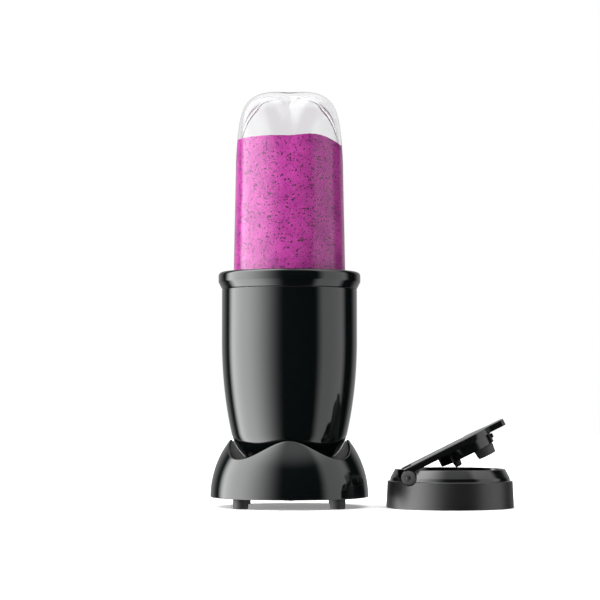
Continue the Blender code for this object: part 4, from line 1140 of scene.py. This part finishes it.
@dataclass
class DrinkingLid:
    """The loose lid, its hinge and its flap with the drum and the two plugs."""

    bench: Bench
    radius: float = 45.4
    top_radius: float = 44.5
    wall_top: float = 19.0
    shoulder: float = 42.8
    rim: float = 39.2
    rim_high: float = 27.5
    recess: float = 37.8
    deck: float = 17.6
    deck_thick: float = 2.4
    wall: float = 2.2
    thread_in: float = 39.18
    thread_out: float = 40.98
    hinge_x: float = -31.0
    hinge_z: float = 21.8
    knuckle: float = 5.0
    knuckle_out: float = 27.5
    trench: float = 5.4
    mouth: float = 6.75
    lug_half: float = 7.6
    pin: float = 1.5
    bore: float = 1.8
    opened: float = 26.6
    tip: float = 79.6
    flap_top: float = 6.15
    flap_thick: float = 4.3
    flap_half: float = 23.0
    tab_half: float = 9.0
    drum_x: float = 46.5
    drum: float = 20.8
    drum_low: float = -5.0
    plug_room: float = 0.9
    spout: Triple = (58.4, 7.4, -12.3)
    vent: Triple = (37.0, 3.2, -10.0)

    def flap_bench(self) -> Bench:
        """The bench of the flap: along +X from the hinge's axis, tilted as the flap stands."""
        shift = Matrix.Translation((self.hinge_x * MM, 0, self.hinge_z * MM))
        return Bench(self.bench.place @ shift @ Matrix.Rotation(-math.radians(self.opened), 4, "Y"))

    def shut(self, x: float, z: float) -> float:
        """Where a point on the shut flap is along the lid."""
        under = self.flap_top - self.flap_thick
        lean = math.asin((self.rim_high + 0.3 - self.hinge_z - under) / (self.rim - self.hinge_x - 0.3))
        return self.hinge_x + x * math.cos(lean) - z * math.sin(lean)

    def build(self) -> None:
        """Makes the lid's shell, thread and pin, then the flap."""
        shell = dress(self.shell(), Body.LID, LID_GLOSS, "lid_shell")
        foot = self.bench.place.translation
        repaint(shell, LID_SATIN, lambda middle: middle.z < (self.wall_top + 0.1) * MM
                and (middle - foot).xy.length / MM > self.top_radius - 1.0)
        start = self.bench.place @ Vector((0, 0, 4.0 * MM))
        thread = coil("lid_thread", LID_SATIN, [start], radius=self.thread_in * MM, rise=6.0 * MM,
                      turns=1.5, wide=0.6 * MM, high=0.9 * MM)
        attach(thread, Body.LID)
        half = self.knuckle_out - 0.5
        pin = self.bench.rod("hinge_pin_bar", self.pin, (self.hinge_x, -half, self.hinge_z),
                             (self.hinge_x, half, self.hinge_z), 32, 0.3)
        dress(pin, Body.LID, STEEL, "lid_hinge_pin")
        self.build_flap(self.flap_bench())

    def shell(self) -> Piece:
        """The lid's body: wall, shoulder, rim, recess, hinge trenches, lug and holes."""
        low = self.deck - self.deck_thick
        inner = self.top_radius - self.wall
        outline = [(0.0, self.deck), (self.recess, self.deck, 1.5), (self.recess, self.rim_high, 0.5),
                   (self.rim, self.rim_high - 0.1, 0.7), (self.shoulder - 0.4, self.wall_top + 2.4, 3.0),
                   (self.shoulder, self.wall_top + 0.2, 0.3), (self.top_radius, self.wall_top, 0.5),
                   (self.radius, 0.0, 0.6), (self.radius - self.wall, 0.0, 0.4), (inner, low - 1, 1.0),
                   (self.thread_out, low - 1, 0.4), (self.thread_out, 2.0, 0.4), (self.thread_in, 2.0, 0.4),
                   (self.thread_in, low, 0.8), (0.0, low)]
        shell = self.bench.turned("lid_shell_fine", outline, closed=False)
        x, z, lug = self.hinge_x, self.hinge_z, self.knuckle - 0.4
        cuts = []
        past = self.knuckle_out + 9
        for y_low, y_high in ((-past, -self.lug_half), (self.lug_half, past)):
            cuts.append(self.bench.rod("trench", self.trench, (x, y_low, z), (x, y_high, z)))
            cuts.append(self.bench.block("mouth", (x - self.mouth, y_low, z),
                                         (x + self.trench, y_high, z + 11)))
        carved(shell, *cuts)
        seat = self.bench.block("seat", (x - lug, -self.lug_half, self.deck - 1),
                                (x + lug, self.lug_half, z))
        backing = self.bench.block("backing", (x - self.mouth - 0.5, -self.lug_half, self.deck - 1),
                                   (x, self.lug_half, self.rim_high - 0.3))
        bar = self.bench.rod("lug", lug, (x, -self.lug_half, z), (x, self.lug_half, z))
        carved(shell, seat, backing, bar, how="UNION")
        holes = [self.bench.rod("pin_bore", self.bore, (x, -12, z), (x, 12, z))]
        for plug_x, radius, plug_low in (self.spout, self.vent):
            at = self.shut(plug_x, round(plug_low / 1.5, 1))
            holes.append(self.bench.rod("plug_hole", radius + self.plug_room, (at, 0, low - 4),
                                        (at, 0, self.deck + 3)))
        carved(shell, *holes)
        return smooth(softened(shell, 0.3, 2))

    def build_flap(self, bench: Bench) -> None:
        """The flap with its knuckles, drum and latch, and the two plugs."""
        meet = math.degrees(math.asin(self.tab_half / self.flap_half))
        half = [(0.0, self.flap_half)] + arc(self.drum_x, 0, self.flap_half, 90, meet, 26)
        half += arc(self.tip - 4, self.tab_half - 4, 4, 90, 0, 10)
        notch, step = self.lug_half + 0.6, self.knuckle + 1.8
        outline = half + [(x, -y) for x, y in reversed(half)]
        outline += [(0.0, -notch), (step, -notch), (step, notch), (0.0, notch)]
        under = self.flap_top - self.flap_thick
        flap = bench.prism("flip_cap_fine", outline[::-1], under, self.flap_top)
        end = self.drum_x + self.drum
        joins = [bench.rod("drum", self.drum, (self.drum_x, 0, under + 1),
                           (self.drum_x, 0, self.drum_low), 128),
                 bench.block("latch", (end - 2, -5, -2.5), (end + 0.9, 5, 0.6))]
        for sign in (-1, 1):
            joins.append(bench.rod("knuckle", self.knuckle, (0, sign * (self.lug_half + 0.45), 0),
                                   (0, sign * self.knuckle_out, 0)))
        carved(flap, *joins, how="UNION")
        carved(flap, bench.rod("bore", self.bore, (0, -40, 0), (0, 40, 0), 32))
        dress(smooth(softened(flap, 0.7)), Body.CAP, LID_GLOSS, "flip_cap")
        across = self.bench.place.translation.y
        # painted light: the knuckle ends get the lighter grey that stands in for light on them
        repaint(flap, KNUCKLE_PAINTED_LIGHT, lambda middle: abs(middle.y - across) > (self.knuckle_out - 0.1) * MM)
        top = self.drum_low - 0.3
        for name, (x, radius, low) in (("spout_plug", self.spout), ("vent_plug", self.vent)):
            plug = bench.rod(name + "_fine", radius, (x, 0, top), (x, 0, low), 64, 0.8, radius - 0.8)
            dress(plug, Body.CAP, PLUG_RUBBER, name)


# ------------------------------------------------------------------ pieces inside


@dataclass
class InnerWorks:
    """Everything behind the housing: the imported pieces, merged, shaded and given their finishes."""

    shown: dict[str, Any]
    springs: tuple[str, ...] = ("activator_spring_1", "activator_spring_2", "activator_spring_3")
    press: str = "press"
    travel: float = 3.0
    wire: float = 0.25
    coil_radius: float = 1.8
    turns: float = 4.5

    def build(self) -> None:
        """Makes the springs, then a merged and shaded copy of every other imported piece."""
        self.build_springs()
        slots = {part["node"]: part["material_slot"] for part in self.shown["record"]["subparts"]}
        for name, node in self.shown["nodes"].items():
            if node.hide_render:
                continue
            bm = bmesh.new()
            bm.from_mesh(node.data)
            bmesh.ops.remove_doubles(bm, verts=bm.verts, dist=2e-6)
            mesh = bpy.data.meshes.new(name + "_fine")
            bm.to_mesh(mesh)
            bm.free()
            copy = bpy.data.objects.new(name + "_fine", mesh)
            bpy.context.scene.collection.objects.link(copy)
            dress(smooth(copy), node["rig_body"], SLOT_FINISHES[slots[name]], name)

    def build_springs(self) -> None:
        """The three coil springs."""
        for name in self.springs:
            low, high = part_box(name)
            middle = (low + high) / 2
            foot = Vector((middle.x, middle.y, low.z + self.wire * MM))
            rise = high.z - low.z - 2 * self.wire * MM
            spring = coil(name + "_fine", STEEL, [foot], radius=self.coil_radius * MM, rise=rise,
                          turns=self.turns, wide=self.wire * MM, high=self.wire * MM)
            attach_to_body(spring, self.shown["nodes"][name]["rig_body"])
            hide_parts(name)
            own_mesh(spring)


# ------------------------------------------------------------------ studio


@dataclass
class Studio:
    """The pale floor, the soft light all round and the camera."""

    camera_at: Triple = (-0.04395, -1.442, 0.075)
    pitch: float = 2.92
    lens: float = 120.0
    floor_radius: float = 3.0
    left_arc: tuple[float, float, float, float] = (8.0, 80.0, 108.0, 128.0)
    right_arc: tuple[float, float, float, float] = (44.0, 62.0, 98.0, 114.0)
    behind_arc: tuple[float, float] = (128.0, 150.0)
    above_arc: tuple[float, float] = (0.55, 0.9)
    shine: Numbers = (7.2, 1.7, 0.45, 1.3, 0.01)
    soft: Numbers = (0.40, 0.15, 0.4, 0.9, 0.44)

    def build(self) -> None:
        """Sets up the camera, the floor and the light."""
        scene = bpy.context.scene
        scene.view_settings.view_transform = "Standard"
        camera = bpy.data.cameras.new("camera")
        camera.lens, camera.sensor_width = self.lens, 36.0
        seat = bpy.data.objects.new("camera", camera)
        seat.location = self.camera_at
        seat.rotation_euler = (math.radians(90 + self.pitch), 0, 0)
        scene.collection.objects.link(seat)
        scene.camera = seat
        self.build_floor()
        self.build_air()
        self.panel("key_panel", (-0.95, -0.55, 0.5), (0, 0, 0.14), (0.7, 0.9), 3.2)
        self.panel("top_panel", (0.0, -0.1, 1.25), (0, 0, 0.1), (1.2, 1.0), 4.0)

    def build_floor(self) -> None:
        """A wide round floor, faintly mottled."""
        bm = bmesh.new()
        bmesh.ops.create_circle(bm, cap_ends=True, radius=self.floor_radius, segments=96)
        mesh = bpy.data.meshes.new("floor")
        bm.to_mesh(mesh)
        bm.free()
        floor = bpy.data.objects.new("floor", mesh)
        bpy.context.scene.collection.objects.link(floor)
        shader = Shader("floor_paint")
        mottle = shader.noise(6.0, 2.0)
        shader.set(Base_Color=shader.mix(mottle, (0.93, 0.93, 0.93), (0.96, 0.96, 0.96)), Roughness=0.9)
        shader.set(Specular_IOR_Level=0.1, Emission_Color=(1.0, 1.0, 1.0), Emission_Strength=0.22)
        mesh.materials.append(shader.material)
        floor.visible_glossy = False

    def build_air(self) -> None:
        """Soft light from all round: bright behind, a broad glow on the left, a faint one on the right."""
        world = bpy.data.worlds.new("studio_air")
        bpy.context.scene.world = world
        world.use_nodes = True
        graph = Graph(world.node_tree)
        graph.tree.nodes.clear()
        sky = graph.node("ShaderNodeTexCoord").outputs["Generated"]
        way = graph.node("ShaderNodeSeparateXYZ", Vector=sky)
        x, y, z = (Value(graph, way.outputs[i]) for i in range(3))
        side = graph.math("ARCTAN2", -x, -y) * (180 / math.pi)
        left, right = (self.rise(graph, turn, *bounds[:2]) * (1.0 - self.rise(graph, turn, *bounds[2:]))
                       for turn, bounds in ((side, self.left_arc), (-side, self.right_arc)))
        behind = self.rise(graph, graph.math("ABSOLUTE", side), *self.behind_arc)
        above = self.rise(graph, z, *self.above_arc)
        glow, soft = (left * level[0] + right * level[1] + behind * level[2] + above * level[3] + level[4]
                      for level in (self.shine, self.soft))
        path = graph.node("ShaderNodeLightPath")
        spread = Value(graph, path.outputs["Diffuse Depth"]).above(0.5)
        seen = graph.math("MAXIMUM", Value(graph, path.outputs["Is Camera Ray"]),
                          Value(graph, path.outputs["Is Transmission Ray"]))
        level = spread * soft + (1.0 - spread) * (glow * (1.0 - seen) + seen * 1.0)
        air = graph.node("ShaderNodeBackground", Color=(1.0, 1.0, 1.0, 1.0), Strength=level)
        graph.node("ShaderNodeOutputWorld", Surface=air.outputs[0])

    @staticmethod
    def rise(graph: Graph, value: Value, start: float, end: float) -> Value:
        """A smooth step from 0 at start to 1 at end."""
        made = graph.node("ShaderNodeMapRange", {"interpolation_type": "SMOOTHSTEP"}, Value=value)
        for name, number in (("From Min", start), ("From Max", end)):
            made.inputs[name].default_value = number
        return Value(graph, made.outputs[0])

    def panel(self, name: str, place: Triple, aim: Triple,
              size: tuple[float, float], watts: float) -> None:
        """A soft light panel aimed at a point."""
        data = bpy.data.lights.new(name, "AREA")
        data.shape, data.size, data.size_y, data.energy = "RECTANGLE", size[0], size[1], watts
        lamp = bpy.data.objects.new(name, data)
        lamp.location = place
        lamp.rotation_euler = (Vector(aim) - Vector(place)).to_track_quat("-Z", "Y").to_euler()
        lamp.visible_glossy = False
        bpy.context.scene.collection.objects.link(lamp)


def axis_of(node: str) -> Matrix:
    """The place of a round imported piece's upright axis, on the floor."""
    low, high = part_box(node)
    return Matrix.Translation(((low.x + high.x) / 2, (low.y + high.y) / 2, 0))


def main() -> None:
    """Builds every sub-assembly in order."""
    logging.basicConfig(level=logging.INFO, format="%(name)s: %(message)s")
    base = Bench(axis_of("housing"))
    Studio().build()
    for assembly in (Skirt(base), Housing(base), Cup(base), DrinkingLid(Bench(axis_of("lid_shell"))),
                     InnerWorks(frame)):
        assembly.build()


if __name__ == "__main__":
    main()
